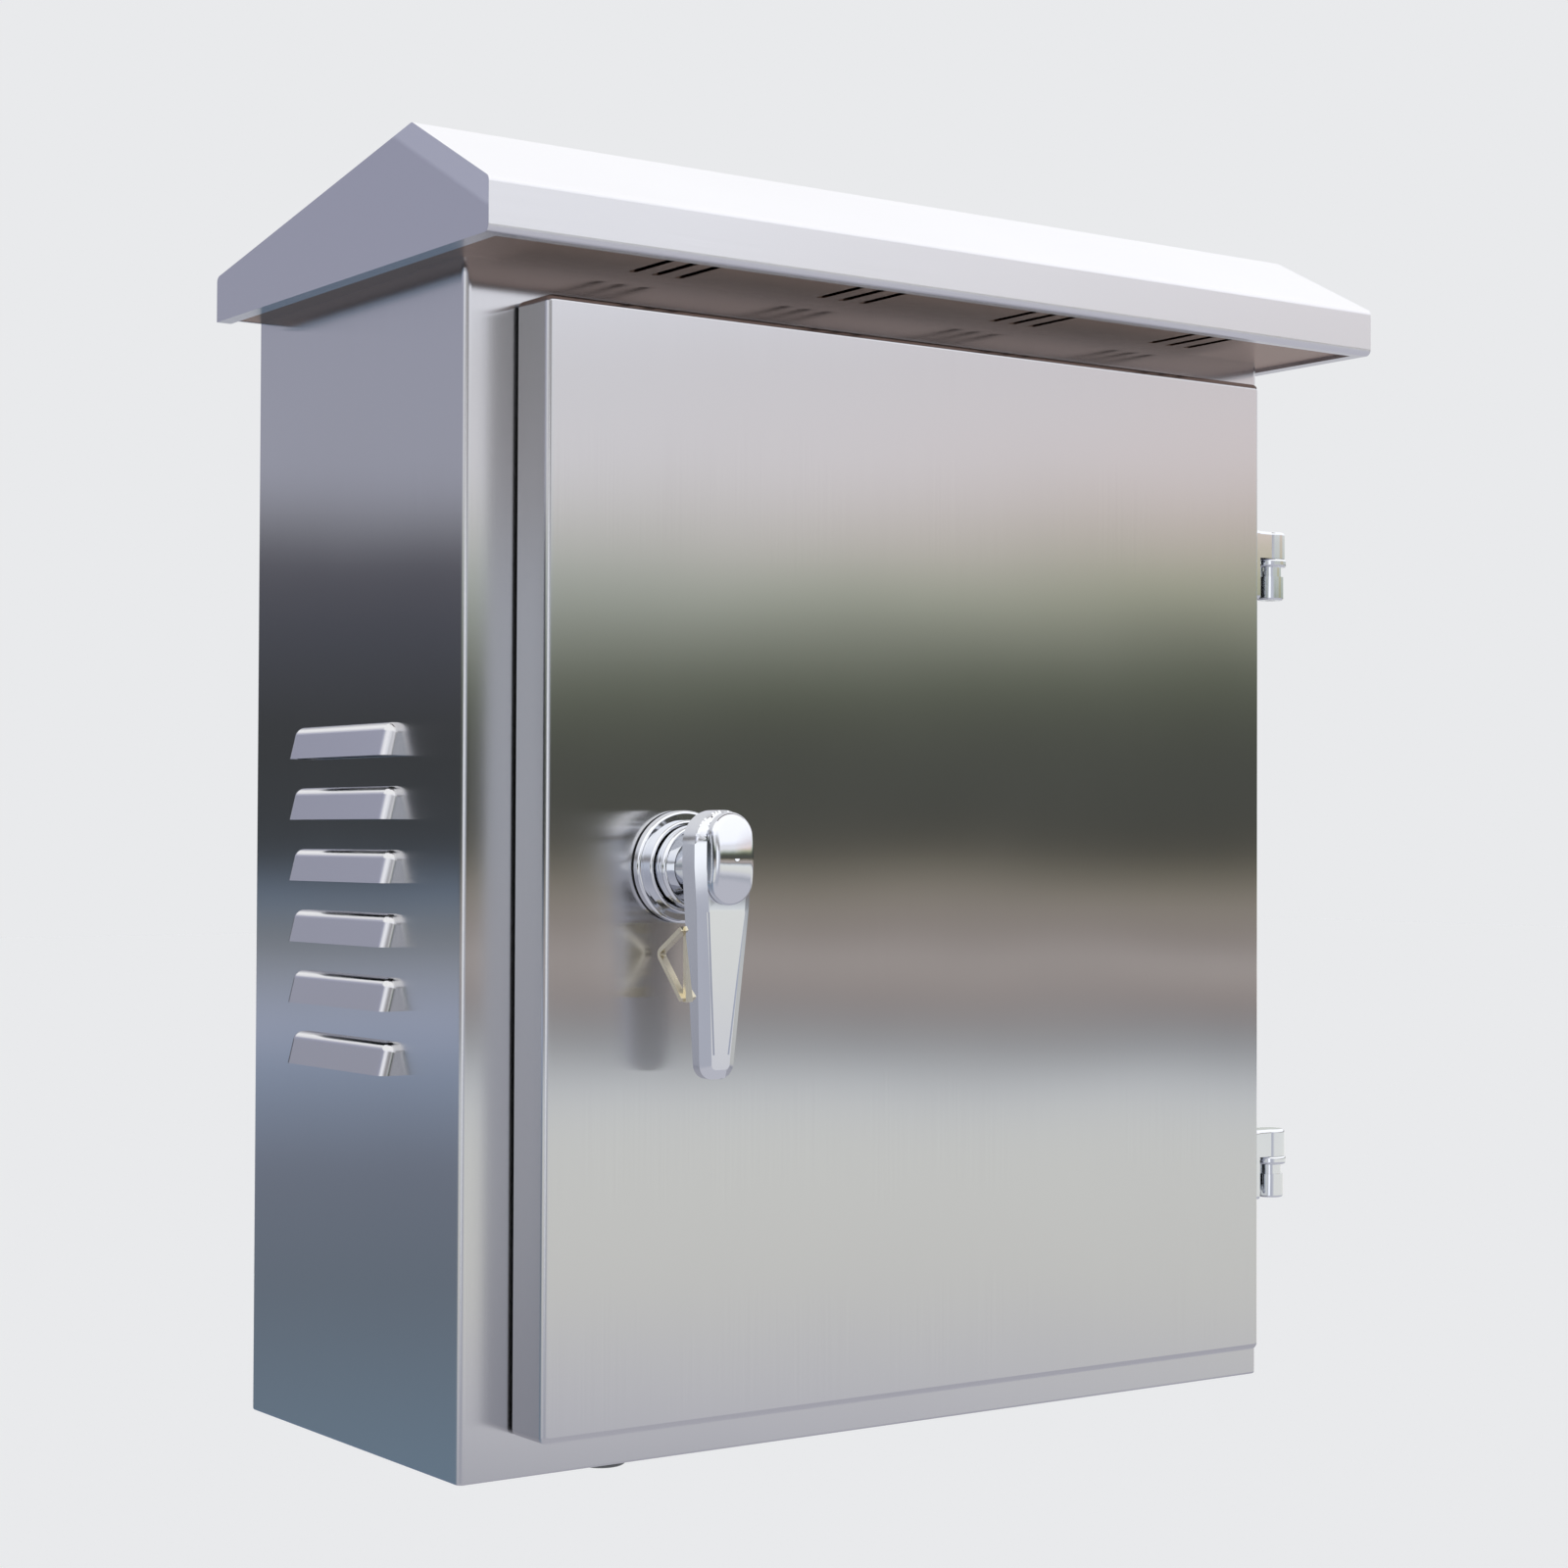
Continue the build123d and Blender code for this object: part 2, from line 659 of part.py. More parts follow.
with BuildPart() as cable_gland_washer:
    with BuildSketch(Plane.XY.offset(gland_shoulder)):
        with Locations((gland_x, gland_y)):
            Circle(gland_flats / 2)
            Circle(gland_thread_radius, mode=Mode.SUBTRACT)
    extrude(amount=gland_washer)
cable_gland_washer.part.label = "cable_gland_washer"
export_step(cable_gland_washer.part, "parts/cable_gland_washer.step")

with BuildPart() as cable_gland_body:
    with Locations((gland_x, gland_y, gland_hex_base)):
        add(hex_prism(gland_flats, gland_flange))
    with BuildSketch(Plane.XY.offset(gland_shoulder)):
        with Locations((gland_x, gland_y)):
            Circle(gland_thread_radius)
    extrude(amount=gland_thread_top - gland_shoulder)
    with BuildSketch(Plane.XY.offset(gland_hex_base)):
        with Locations((gland_x, gland_y)):
            Circle(gland_neck_radius)
    extrude(amount=-gland_neck_drop)
    with BuildSketch(Plane.XY.offset(gland_hex_base - gland_neck_drop)):
        with Locations((gland_x, gland_y)):
            Circle(gland_bore_radius)
    extrude(amount=gland_thread_top - gland_hex_base + gland_neck_drop, mode=Mode.SUBTRACT)
cable_gland_body.part.label = "cable_gland_body"
export_step(cable_gland_body.part, "parts/cable_gland_body.step")

with BuildPart() as cable_gland_locknut:
    with Locations((gland_x, gland_y, bottom + sheet)):
        add(hex_prism(gland_flats, gland_locknut))
    with BuildSketch(Plane.XY.offset(bottom + sheet)):
        with Locations((gland_x, gland_y)):
            Circle(gland_thread_radius)
    extrude(amount=gland_locknut, mode=Mode.SUBTRACT)
cable_gland_locknut.part.label = "cable_gland_locknut"
export_step(cable_gland_locknut.part, "parts/cable_gland_locknut.step")

with BuildPart() as cable_gland_cap:
    with BuildSketch(Plane.XY.offset(gland_cap_base)):
        with Locations((gland_x, gland_y)):
            Circle(gland_cap_radius)
    extrude(amount=gland_cap_length)
    fillet(cable_gland_cap.faces().sort_by(Axis.Z)[0].edges(), gland_cap_edge)
    with BuildSketch(Plane.XY.offset(gland_hex_base - gland_neck_drop)):
        with Locations((gland_x, gland_y)):
            Circle(gland_neck_radius)
    extrude(amount=gland_neck_drop, mode=Mode.SUBTRACT)
    with BuildSketch(Plane.XY.offset(gland_cap_base)):
        with Locations((gland_x, gland_y)):
            Circle(gland_bore_radius)
    extrude(amount=gland_cap_length, mode=Mode.SUBTRACT)
cable_gland_cap.part.label = "cable_gland_cap"
export_step(cable_gland_cap.part, "parts/cable_gland_cap.step")

with BuildPart() as cable_gland_seal:
    with BuildSketch(Plane.XY.offset(seal_base)):
        with Locations((gland_x, gland_y)):
            Circle(gland_seal_radius)
            Circle(gland_cable_radius, mode=Mode.SUBTRACT)
    extrude(amount=gland_seal_length)
cable_gland_seal.part.label = "cable_gland_seal"
export_step(cable_gland_seal.part, "parts/cable_gland_seal.step")

# Door panel: one sheet folded into a shallow pan, open at the back
m4 = threads["M4"]
door_back_face = Plane.XZ.offset(-(front - door_clearance))
door_stud_y = front - door_clearance - door_stud_setback
door_stud_heights = [level + side * hinge_stud_spread / 2
                     for level in hinge_levels.values() for side in (-1, 1)]
rosette_hole_radius = rosette_tube_radius + rosette_hole_clearance
handle_face = Plane(origin=(handle_x, door_front, handle_z), x_dir=(1, 0, 0), z_dir=(0, -1, 0))

with BuildPart() as door_panel:
    with BuildSketch(door_back_face):
        with Locations((0, door_z)):
            RectangleRounded(door_width, door_height, door_corner_radius)
    extrude(amount=door_depth)
    fillet(door_panel.faces().sort_by(Axis.Y)[0].edges(), door_corner_radius - door_edge_step)
    offset(amount=-sheet, openings=door_panel.faces().sort_by(Axis.Y)[-1])
    with BuildSketch(handle_face):
        Circle(rosette_hole_radius)
    extrude(amount=-sheet, mode=Mode.SUBTRACT)
    with BuildSketch(Plane.YZ.offset(door_right)):
        with Locations(*[(door_stud_y, z) for z in door_stud_heights]):
            Circle(m4["radius"] + bolt_clearance)
    extrude(amount=-sheet, mode=Mode.SUBTRACT)
door_panel.part.label = "door_panel"
export_step(door_panel.part, "parts/door_panel.step")

# Door gasket: a foam frame glued inside the door, which the rain lip presses on
lip_line_width = opening_width + sheet
lip_line_height = opening_height + sheet
gasket_thickness = (front - lip_height) - door_inner - soft_clearance

with BuildPart() as door_gasket:
    with BuildSketch(Plane.XZ.offset(-door_inner)):
        with Locations((0, door_z)):
            RectangleRounded(lip_line_width + gasket_width, lip_line_height + gasket_width,
                             lip_corner_radius + gasket_width / 2)
            RectangleRounded(lip_line_width - gasket_width, lip_line_height - gasket_width,
                             lip_corner_radius, mode=Mode.SUBTRACT)
    extrude(amount=-gasket_thickness)
door_gasket.part.label = "door_gasket"
export_step(door_gasket.part, "parts/door_gasket.step")

# Door stiffeners: two hat sections spot-welded upright inside the door
stiffener_length = door_height - 2 * stiffener_margin

for name, place in stiffener_places.items():
    with BuildPart() as door_stiffener:
        with BuildSketch(Plane.XY.offset(door_z - stiffener_length / 2)):
            with Locations((place, door_inner + stiffener_depth / 2)):
                Rectangle(stiffener_width, stiffener_depth)
            with Locations((place, door_inner + stiffener_sheet / 2)):
                Rectangle(stiffener_width + 2 * stiffener_foot, stiffener_sheet)
            with Locations((place, door_inner + (stiffener_depth - stiffener_sheet) / 2)):
                Rectangle(stiffener_width - 2 * stiffener_sheet, stiffener_depth - stiffener_sheet,
                          mode=Mode.SUBTRACT)
        extrude(amount=stiffener_length)
    door_stiffener.part.label = f"door_stiffener_{name}"
    export_step(door_stiffener.part, f"parts/door_stiffener_{name}.step")

# Door earth stud, near the foot of the door on its inner face
door_earth_x = door_right - door_earth_inset
door_earth_z = bottom + door_earth_rise

with BuildPart() as door_earth_stud:
    with Locations(Location((door_earth_x, door_inner, door_earth_z), towards_back)):
        add(stud(m6, door_earth_length))
door_earth_stud.part.label = "door_earth_stud"
export_step(door_earth_stud.part, "parts/door_earth_stud.step")

with BuildPart() as door_earth_washer:
    with Locations(Location((door_earth_x, door_inner, door_earth_z), towards_back)):
        add(washer(m6))
door_earth_washer.part.label = "door_earth_washer"
export_step(door_earth_washer.part, "parts/door_earth_washer.step")

with BuildPart() as door_earth_nut:
    with Locations(Location((door_earth_x, door_inner + m6["washer"], door_earth_z), towards_back)):
        add(hex_nut(m6))
door_earth_nut.part.label = "door_earth_nut"
export_step(door_earth_nut.part, "parts/door_earth_nut.step")

# Hinges: a barrel on the flange with a collar and a pin, and a knuckle on the door above it
knuckle_base = hinge_height / 2 - hinge_knuckle_height
collar_base = knuckle_base - hinge_collar_height
neck_base = collar_base - hinge_neck_height
barrel_base = -hinge_height / 2
pin_top = hinge_height / 2 - hinge_pin_cover
foot_left = foot_stud_x - foot_stud_inset
hinge_stud_length = sheet + m4["washer"] + m4["nut"] + hinge_stud_overrun
web_base = barrel_base + hinge_web_inset

for name, z in hinge_levels.items():
    with BuildPart() as hinge_body_leaf:
        with BuildSketch(Plane((hinge_x, hinge_y, z + barrel_base))):
            Circle(hinge_barrel_radius)
        extrude(amount=neck_base - barrel_base)
        fillet(hinge_body_leaf.faces().sort_by(Axis.Z)[0].edges(), hinge_barrel_edge)
        with BuildSketch(Plane((hinge_x, hinge_y, z + neck_base))):
            Circle(hinge_neck_radius)
        extrude(amount=hinge_neck_height)
        with BuildSketch(Plane.XY.offset(z + web_base)):
            with Locations((hinge_x, (hinge_y + front) / 2)):
                Rectangle(2 * (hinge_neck_radius - hinge_web_inset), front - hinge_y)
        extrude(amount=collar_base - web_base)
        with BuildSketch(flange_face):
            with Locations((foot_left + hinge_foot_width / 2, z)):
                RectangleRounded(hinge_foot_width, hinge_height, hinge_corner_radius)
        extrude(amount=hinge_foot_thickness)
        with BuildSketch(Plane((hinge_x, hinge_y, z + barrel_base))):
            Circle(hinge_pin_radius)
        extrude(amount=hinge_height, mode=Mode.SUBTRACT)
        with BuildSketch(flange_face):
            with Locations(*[(foot_stud_x, z + side * hinge_stud_spread / 2) for side in (-1, 1)]):
                Circle(m4["radius"])
        extrude(amount=-hinge_stud_length)
    hinge_body_leaf.part.label = f"hinge_body_leaf_{name}"
    export_step(hinge_body_leaf.part, f"parts/hinge_body_leaf_{name}.step")

    with BuildPart() as hinge_collar:
        with BuildSketch(Plane((hinge_x, hinge_y, z + collar_base))):
            Circle(hinge_collar_radius)
            Circle(hinge_pin_radius, mode=Mode.SUBTRACT)
        extrude(amount=hinge_collar_height)
        rims = hinge_collar.edges().filter_by(GeomType.CIRCLE).sort_by(SortBy.RADIUS)[-2:]
        fillet(rims, hinge_collar_edge)
    hinge_collar.part.label = f"hinge_collar_{name}"
    export_step(hinge_collar.part, f"parts/hinge_collar_{name}.step")

    with BuildPart() as hinge_pin:
        with BuildSketch(Plane((hinge_x, hinge_y, z + barrel_base))):
            Circle(hinge_pin_radius)
        extrude(amount=pin_top - barrel_base)
    hinge_pin.part.label = f"hinge_pin_{name}"
    export_step(hinge_pin.part, f"parts/hinge_pin_{name}.step")

    with BuildPart() as hinge_door_leaf:
        with BuildSketch(Plane((hinge_x, hinge_y, z + knuckle_base))):
            Circle(hinge_knuckle_radius)
            with Locations(((door_right - hinge_x) / 2, 0)):
                Rectangle(hinge_x - door_right, hinge_arm_width)
        extrude(amount=hinge_knuckle_height)
        fillet(hinge_door_leaf.faces().sort_by(Axis.Z)[-1].edges(), hinge_corner_radius)
        with BuildSketch(Plane.YZ.offset(door_right)):
            with Locations((hinge_y + hinge_leaf_shift, z)):
                RectangleRounded(hinge_leaf_width, hinge_height, hinge_corner_radius)
        extrude(amount=hinge_leaf)
        with BuildSketch(Plane((hinge_x, hinge_y, z + knuckle_base))):
            Circle(hinge_pin_radius + running_clearance)
        extrude(amount=pin_top - knuckle_base + turning_gap, mode=Mode.SUBTRACT)
        with BuildSketch(Plane.YZ.offset(door_right)):
            with Locations(*[(door_stud_y, z + side * hinge_stud_spread / 2) for side in (-1, 1)]):
                Circle(m4["radius"])
        extrude(amount=-hinge_stud_length)
    hinge_door_leaf.part.label = f"hinge_door_leaf_{name}"
    export_step(hinge_door_leaf.part, f"parts/hinge_door_leaf_{name}.step")

# Washers and nuts of the hinge studs, inside the flange and inside the door
flange_inner = front + sheet
return_inner = door_right - sheet

with BuildPart() as hinge_body_washers:
    with Locations(*[Location((x, flange_inner, z), towards_back) for x, z in foot_stud_places]):
        add(washer(m4))
hinge_body_washers.part.label = "hinge_body_washers"
export_step(hinge_body_washers.part, "parts/hinge_body_washers.step")

with BuildPart() as hinge_body_nuts:
    with Locations(*[Location((x, flange_inner + m4["washer"], z), towards_back)
                     for x, z in foot_stud_places]):
        add(hex_nut(m4))
hinge_body_nuts.part.label = "hinge_body_nuts"
export_step(hinge_body_nuts.part, "parts/hinge_body_nuts.step")

with BuildPart() as hinge_door_washers:
    with Locations(*[Location((return_inner, door_stud_y, z), towards_left)
                     for z in door_stud_heights]):
        add(washer(m4))
hinge_door_washers.part.label = "hinge_door_washers"
export_step(hinge_door_washers.part, "parts/hinge_door_washers.step")

with BuildPart() as hinge_door_nuts:
    with Locations(*[Location((return_inner - m4["washer"], door_stud_y, z), towards_left)
                     for z in door_stud_heights]):
        add(hex_nut(m4))
hinge_door_nuts.part.label = "hinge_door_nuts"
export_step(hinge_door_nuts.part, "parts/hinge_door_nuts.step")

# Handle rosette: a turned housing whose threaded tube passes through the door
bore_radius = spindle_radius + running_clearance

with BuildPart() as handle_gasket_ring:
    with BuildSketch(handle_face):
        Circle(rosette_tiers[0][0] - handle_gasket_setback)
        Circle(rosette_hole_radius, mode=Mode.SUBTRACT)
    extrude(amount=handle_gasket)
handle_gasket_ring.part.label = "handle_gasket"
export_step(handle_gasket_ring.part, "parts/handle_gasket.step")

with BuildPart() as handle_rosette:
    start = handle_gasket
    for radius, end, edge in rosette_tiers:
        with BuildSketch(handle_face.offset(start)):
            Circle(radius)
        extrude(amount=end - start)
        if edge:
            rim = handle_rosette.edges().filter_by(GeomType.CIRCLE).sort_by(Axis.Y)[0]
            fillet(rim, edge)
        start = end
    with BuildSketch(handle_face.offset(handle_gasket)):
        Circle(rosette_tube_radius)
    extrude(amount=-(handle_gasket + rosette_tube_end))
    with BuildSketch(handle_face.offset(start)):
        Circle(bore_radius)
    extrude(amount=-(start + rosette_tube_end), mode=Mode.SUBTRACT)
handle_rosette.part.label = "handle_rosette"
export_step(handle_rosette.part, "parts/handle_rosette.step")
rosette_end = start

with BuildPart() as handle_lock_washer:
    with BuildSketch(handle_face.offset(-sheet)):
        Circle(locknut_flats / 2 + lock_washer_rim)
        Circle(rosette_tube_radius, mode=Mode.SUBTRACT)
    extrude(amount=-m6["washer"])
handle_lock_washer.part.label = "handle_lock_washer"
export_step(handle_lock_washer.part, "parts/handle_lock_washer.step")

with BuildPart() as handle_locknut:
    locknut_place = Location((handle_x, door_inner + m6["washer"], handle_z), towards_back)
    with Locations(locknut_place):
        add(hex_prism(locknut_flats, locknut_height))
    with BuildSketch(handle_face.offset(-sheet - m6["washer"])):
        Circle(rosette_tube_radius)
    extrude(amount=-locknut_height, mode=Mode.SUBTRACT)
handle_locknut.part.label = "handle_locknut"
export_step(handle_locknut.part, "parts/handle_locknut.step")

# Lever: a cast grip that thins towards its tip, on a round boss, with a bored head for the key cylinder
lever_front = lever_standoff + lever_thickness
lever_front_y = door_front - lever_front
taper_top, taper_tip = handle_z - lever_taper_drop, handle_z - lever_tip_drop
taper_angle = degrees(atan2(lever_taper, lever_tip_drop - lever_taper_drop))
taper_face = Plane.XY * Location((handle_x, lever_front_y, taper_top), (90 + taper_angle, 0, 0))
tip_radius = lever_tip_half_width - lever_tip_flat
groove_top_x = lever_head_radius - lever_bevel - lever_groove_top_inset
groove_end_x = lever_tip_half_width - lever_bevel - lever_groove_tip_inset
groove_top_drop = lever_groove_top_drop - lever_taper_drop
groove_end_y = lever_taper_drop - lever_tip_drop + lever_groove_end_rise

with BuildPart() as handle_lever:
    with BuildSketch(handle_face.offset(lever_standoff)) as lever_outline:
        with BuildLine():
            left_side = Line((-lever_tip_half_width, -lever_tip_drop), (-lever_head_radius, 0))
            left_cheek = Line(left_side @ 1, (-lever_head_radius, lever_head_rise))
            crown = ThreePointArc(left_cheek @ 1, (0, lever_head_rise + lever_head_radius),
                                  (lever_head_radius, lever_head_rise))
            right_cheek = Line(crown @ 1, (lever_head_radius, 0))
            right_side = Line(right_cheek @ 1, (lever_tip_half_width, -lever_tip_drop))
            Line(right_side @ 1, left_side @ 0)
        make_face()
        fillet(lever_outline.vertices().group_by(Axis.Y)[0], tip_radius)
    extrude(amount=lever_thickness)
    with BuildSketch(Plane.YZ.offset(handle_x - lever_head_radius)):
        with BuildLine():
            Polyline((lever_front_y, taper_top), (lever_front_y, taper_tip),
                     (lever_front_y + lever_taper, taper_tip), close=True)
        make_face()
    extrude(amount=2 * lever_head_radius, mode=Mode.SUBTRACT)
    head_face = handle_lever.faces().sort_by(Axis.Y)[0]
    grip_face = handle_lever.faces().filter_by(lambda face: 0 < -face.normal_at().Z < sin(pi / 4)
                                               and face.normal_at().Y < -sin(pi / 4))[0]
    kink = head_face.edges().sort_by(Axis.Z)[0]
    rim = [edge for edge in [*head_face.edges(), *grip_face.edges()]
           if (edge.center() - kink.center()).length > turning_gap]
    chamfer(rim, lever_bevel, lever_bevel_depth)
    with BuildSketch(handle_face.offset(rosette_end + turning_gap)):
        Circle(lever_boss_back_radius)
    with BuildSketch(handle_face.offset(lever_standoff)):
        Circle(lever_boss_front_radius)
    loft()
    with BuildSketch(taper_face):
        for side in (-1, 1):
            with BuildLine():
                Line((side * groove_top_x, -groove_top_drop), (side * groove_end_x, groove_end_y))
            trace(line_width=lever_groove_width)
    extrude(amount=-lever_groove_depth, mode=Mode.SUBTRACT)
    with BuildSketch(handle_face.offset(rosette_end)):
        Circle(spindle_radius)
    extrude(amount=spindle_seat - rosette_end, mode=Mode.SUBTRACT)
    with BuildSketch(handle_face.offset(lever_front)):
        Circle(key_cylinder_radius + running_clearance)
    extrude(amount=-(lever_front - spindle_seat), mode=Mode.SUBTRACT)
handle_lever.part.label = "handle_lever"
export_step(handle_lever.part, "parts/handle_lever.step")

# Spindle: a turned rod from the lever to the cam, with a squared inner end
cam_front = -(door_proud + sheet + cam_clearance)
cam_back = cam_front - cam_thickness

with BuildPart() as handle_spindle:
    with BuildSketch(handle_face.offset(cam_front)):
        Circle(spindle_radius)
    extrude(amount=spindle_seat - cam_front)
    with BuildSketch(handle_face.offset(cam_front)):
        Rectangle(cam_square, cam_square)
    extrude(amount=-cam_thickness)
    with BuildSketch(handle_face.offset(cam_back)):
        Circle(m6["radius"])
    extrude(amount=cam_screw_depth, mode=Mode.SUBTRACT)
handle_spindle.part.label = "handle_spindle"
export_step(handle_spindle.part, "parts/handle_spindle.step")

# Cam: a flat tongue on the spindle that hooks behind the left flange when the lever hangs down
with BuildPart() as lock_cam:
    with BuildSketch(handle_face.offset(cam_front)) as tongue:
        with Locations((-cam_length / 2, 0)):
            Rectangle(cam_length, cam_width)
        fillet(tongue.vertices().group_by(Axis.X)[0], cam_width / 4)
        Circle(cam_hub_radius)
        Rectangle(cam_square, cam_square, mode=Mode.SUBTRACT)
    extrude(amount=-cam_thickness)
lock_cam.part.label = "lock_cam"
export_step(lock_cam.part, "parts/lock_cam.step")

with BuildPart() as cam_washer:
    with Locations(Location((handle_x, door_front - cam_back, handle_z), towards_back)):
        add(washer(m6))
cam_washer.part.label = "cam_washer"
export_step(cam_washer.part, "parts/cam_washer.step")

with BuildPart() as cam_screw:
    cam_screw_y = door_front - cam_back + m6["washer"]
    with Locations(Location((handle_x, cam_screw_y, handle_z), towards_back)):
        add(hex_bolt(m6, cam_screw_depth + m6["washer"]))
cam_screw.part.label = "cam_screw"
export_step(cam_screw.part, "parts/cam_screw.step")

# Padlock lug: a strip bent to a pointed loop behind the lever, on a foot riveted to the lever's back
lug_left = handle_x - lug_side
lever_back_y = door_front - lever_standoff
lug_end_y = lever_back_y + lug_sheet / 2
lug_end_top, lug_end_bottom = [handle_z - drop for drop in lug_end_drops]
lug_tip = (door_front - lug_tip_gap, handle_z - lug_tip_drop)
lug_foot_x = lug_left + lug_width - lug_foot_overlap + lug_foot_width / 2
lug_foot_height = lug_end_top - lug_end_bottom + lug_sheet
rivet_spots = [(lug_foot_x, handle_z - drop) for drop in lug_rivet_drops]

with BuildPart() as padlock_lug:
    with BuildSketch(Plane.YZ.offset(lug_left)):
        with BuildLine():
            FilletPolyline((lug_end_y, lug_end_top), lug_tip, (lug_end_y, lug_end_bottom),
                           radius=lug_bend_radius)
        trace(line_width=lug_sheet)
    extrude(amount=lug_width)
    with BuildSketch(Plane.XZ.offset(-lever_back_y)):
        with Locations((lug_foot_x, (lug_end_top + lug_end_bottom) / 2)):
            Rectangle(lug_foot_width, lug_foot_height)
    extrude(amount=-lug_sheet)
    with BuildSketch(Plane.XZ.offset(-lever_back_y)):
        with Locations(*rivet_spots):
            Circle(lug_rivet_radius)
    extrude(amount=-lug_sheet, mode=Mode.SUBTRACT)
padlock_lug.part.label = "padlock_lug"
export_step(padlock_lug.part, "parts/padlock_lug.step")

with BuildPart() as lug_rivets:
    with BuildSketch(Plane.XZ.offset(-lever_back_y - lug_sheet)):
        with Locations(*rivet_spots):
            Circle(lug_rivet_head_radius)
    extrude(amount=-lug_rivet_head)
    fillet(lug_rivets.faces().group_by(Axis.Y)[-1].edges(), lug_rivet_head / 2)
    with BuildSketch(Plane.XZ.offset(-lever_back_y - lug_sheet)):
        with Locations(*rivet_spots):
            Circle(lug_rivet_radius)
    extrude(amount=lug_sheet)
lug_rivets.part.label = "lug_rivets"
export_step(lug_rivets.part, "parts/lug_rivets.step")

# Key cylinder in the lever's head, with its keyway
with BuildPart() as key_cylinder:
    with BuildSketch(handle_face.offset(spindle_seat + turning_gap)):
        Circle(key_cylinder_radius)
    extrude(amount=lever_front - spindle_seat - turning_gap)
    with BuildSketch(handle_face.offset(lever_front)):
        Rectangle(keyway_width, keyway_height)
    extrude(amount=-keyway_depth, mode=Mode.SUBTRACT)
key_cylinder.part.label = "key_cylinder"
export_step(key_cylinder.part, "parts/key_cylinder.step")

# Key cover: a hollow dome crowned both ways, which swings sideways on its rivet
cover_back = handle_face.offset(lever_front + turning_gap)
cover_middle = lever_head_rise + lever_head_radius - cover_crown_inset - cover_height / 2
cover_place = Location((handle_x, door_front - lever_front - turning_gap, handle_z + cover_middle),
                       towards_front)


def crowned_dome(inset):
    """The cover's form on the XY plane, made smaller all round by the inset."""
    with BuildPart() as dome:
        with BuildSketch():
            SlotOverall(cover_height - 2 * inset, cover_width - 2 * inset, rotation=90)
        extrude(amount=cover_depth - inset)
        with Locations((0, 0, cover_depth - inset - cover_crown_radius)):
            Sphere(cover_crown_radius, mode=Mode.INTERSECT)
        fillet(dome.faces().sort_by(Axis.Z)[-1].edges(), cover_edge - inset)
    return dome.part


with BuildPart() as key_cover:
    with Locations(cover_place):
        add(crowned_dome(0))
        add(crowned_dome(cover_wall), mode=Mode.SUBTRACT)
    with BuildSketch(cover_back):
        with Locations((0, cover_rivet_rise)):
            Circle(cover_boss_radius)
    extrude(amount=cover_rivet_reach + cover_boss_roof)
    with BuildSketch(cover_back):
        with Locations((0, cover_rivet_rise)):
            Circle(cover_rivet_radius + running_clearance)
    extrude(amount=cover_rivet_reach + turning_gap, mode=Mode.SUBTRACT)
key_cover.part.label = "key_cover"
export_step(key_cover.part, "parts/key_cover.step")

with BuildPart() as cover_rivet:
    with BuildSketch(handle_face.offset(lever_front)):
        with Locations((0, cover_rivet_rise)):
            Circle(cover_rivet_radius)
    extrude(amount=turning_gap + cover_rivet_reach)
cover_rivet.part.label = "cover_rivet"
export_step(cover_rivet.part, "parts/cover_rivet.step")
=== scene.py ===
from math import cos, pi, radians, sin

import bmesh
import bpy
from mathutils import Matrix, Vector


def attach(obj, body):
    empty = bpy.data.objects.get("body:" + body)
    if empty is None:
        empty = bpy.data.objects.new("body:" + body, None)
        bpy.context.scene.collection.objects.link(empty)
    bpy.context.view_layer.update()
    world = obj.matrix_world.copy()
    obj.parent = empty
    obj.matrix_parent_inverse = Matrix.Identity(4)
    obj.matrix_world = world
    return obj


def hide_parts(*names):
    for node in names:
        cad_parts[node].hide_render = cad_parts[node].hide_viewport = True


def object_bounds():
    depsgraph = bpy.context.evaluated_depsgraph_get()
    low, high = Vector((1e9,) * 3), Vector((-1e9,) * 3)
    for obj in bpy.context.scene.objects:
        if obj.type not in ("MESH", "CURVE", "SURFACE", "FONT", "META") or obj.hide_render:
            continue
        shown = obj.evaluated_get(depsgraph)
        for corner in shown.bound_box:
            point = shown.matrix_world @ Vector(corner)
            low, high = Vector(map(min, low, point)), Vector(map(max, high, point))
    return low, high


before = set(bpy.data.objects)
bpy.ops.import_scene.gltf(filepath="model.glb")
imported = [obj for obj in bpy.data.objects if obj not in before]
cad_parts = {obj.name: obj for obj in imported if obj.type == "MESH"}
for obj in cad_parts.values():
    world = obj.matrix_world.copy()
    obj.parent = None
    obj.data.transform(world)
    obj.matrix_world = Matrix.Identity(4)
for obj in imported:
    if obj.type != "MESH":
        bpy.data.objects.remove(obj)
cad_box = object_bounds()

# Cabinet body, door and door stiffeners
# Each is folded from stainless sheet, 1.2 to 1.5 mm thick, and welded. The sheet was brushed upright, so that
# what it mirrors smears sideways, and it is nowhere quite flat, which bends the reflections a little. Real
# grooves are about 0.1 mm wide, and these are drawn wider so that they show.
grain_width = 0.0005
grain_length = 0.090
cloud_width = 1 / 9
dent_width = 0.16
dent_depth = 0.0003
scratch_depth = 0.0001
scratch_strength = 0.04
groove_shade = 0.93
sheen_below = 0.02
sheen_above = 0.03
end_facing = 0.7


def linear(code):
    """A colour written as sRGB hex, in linear values."""
    parts = [int(code[start:start + 2], 16) / 255 for start in (1, 3, 5)]
    return [part / 12.92 if part <= 0.04045 else ((part + 0.055) / 1.055) ** 2.4 for part in parts] + [1.0]


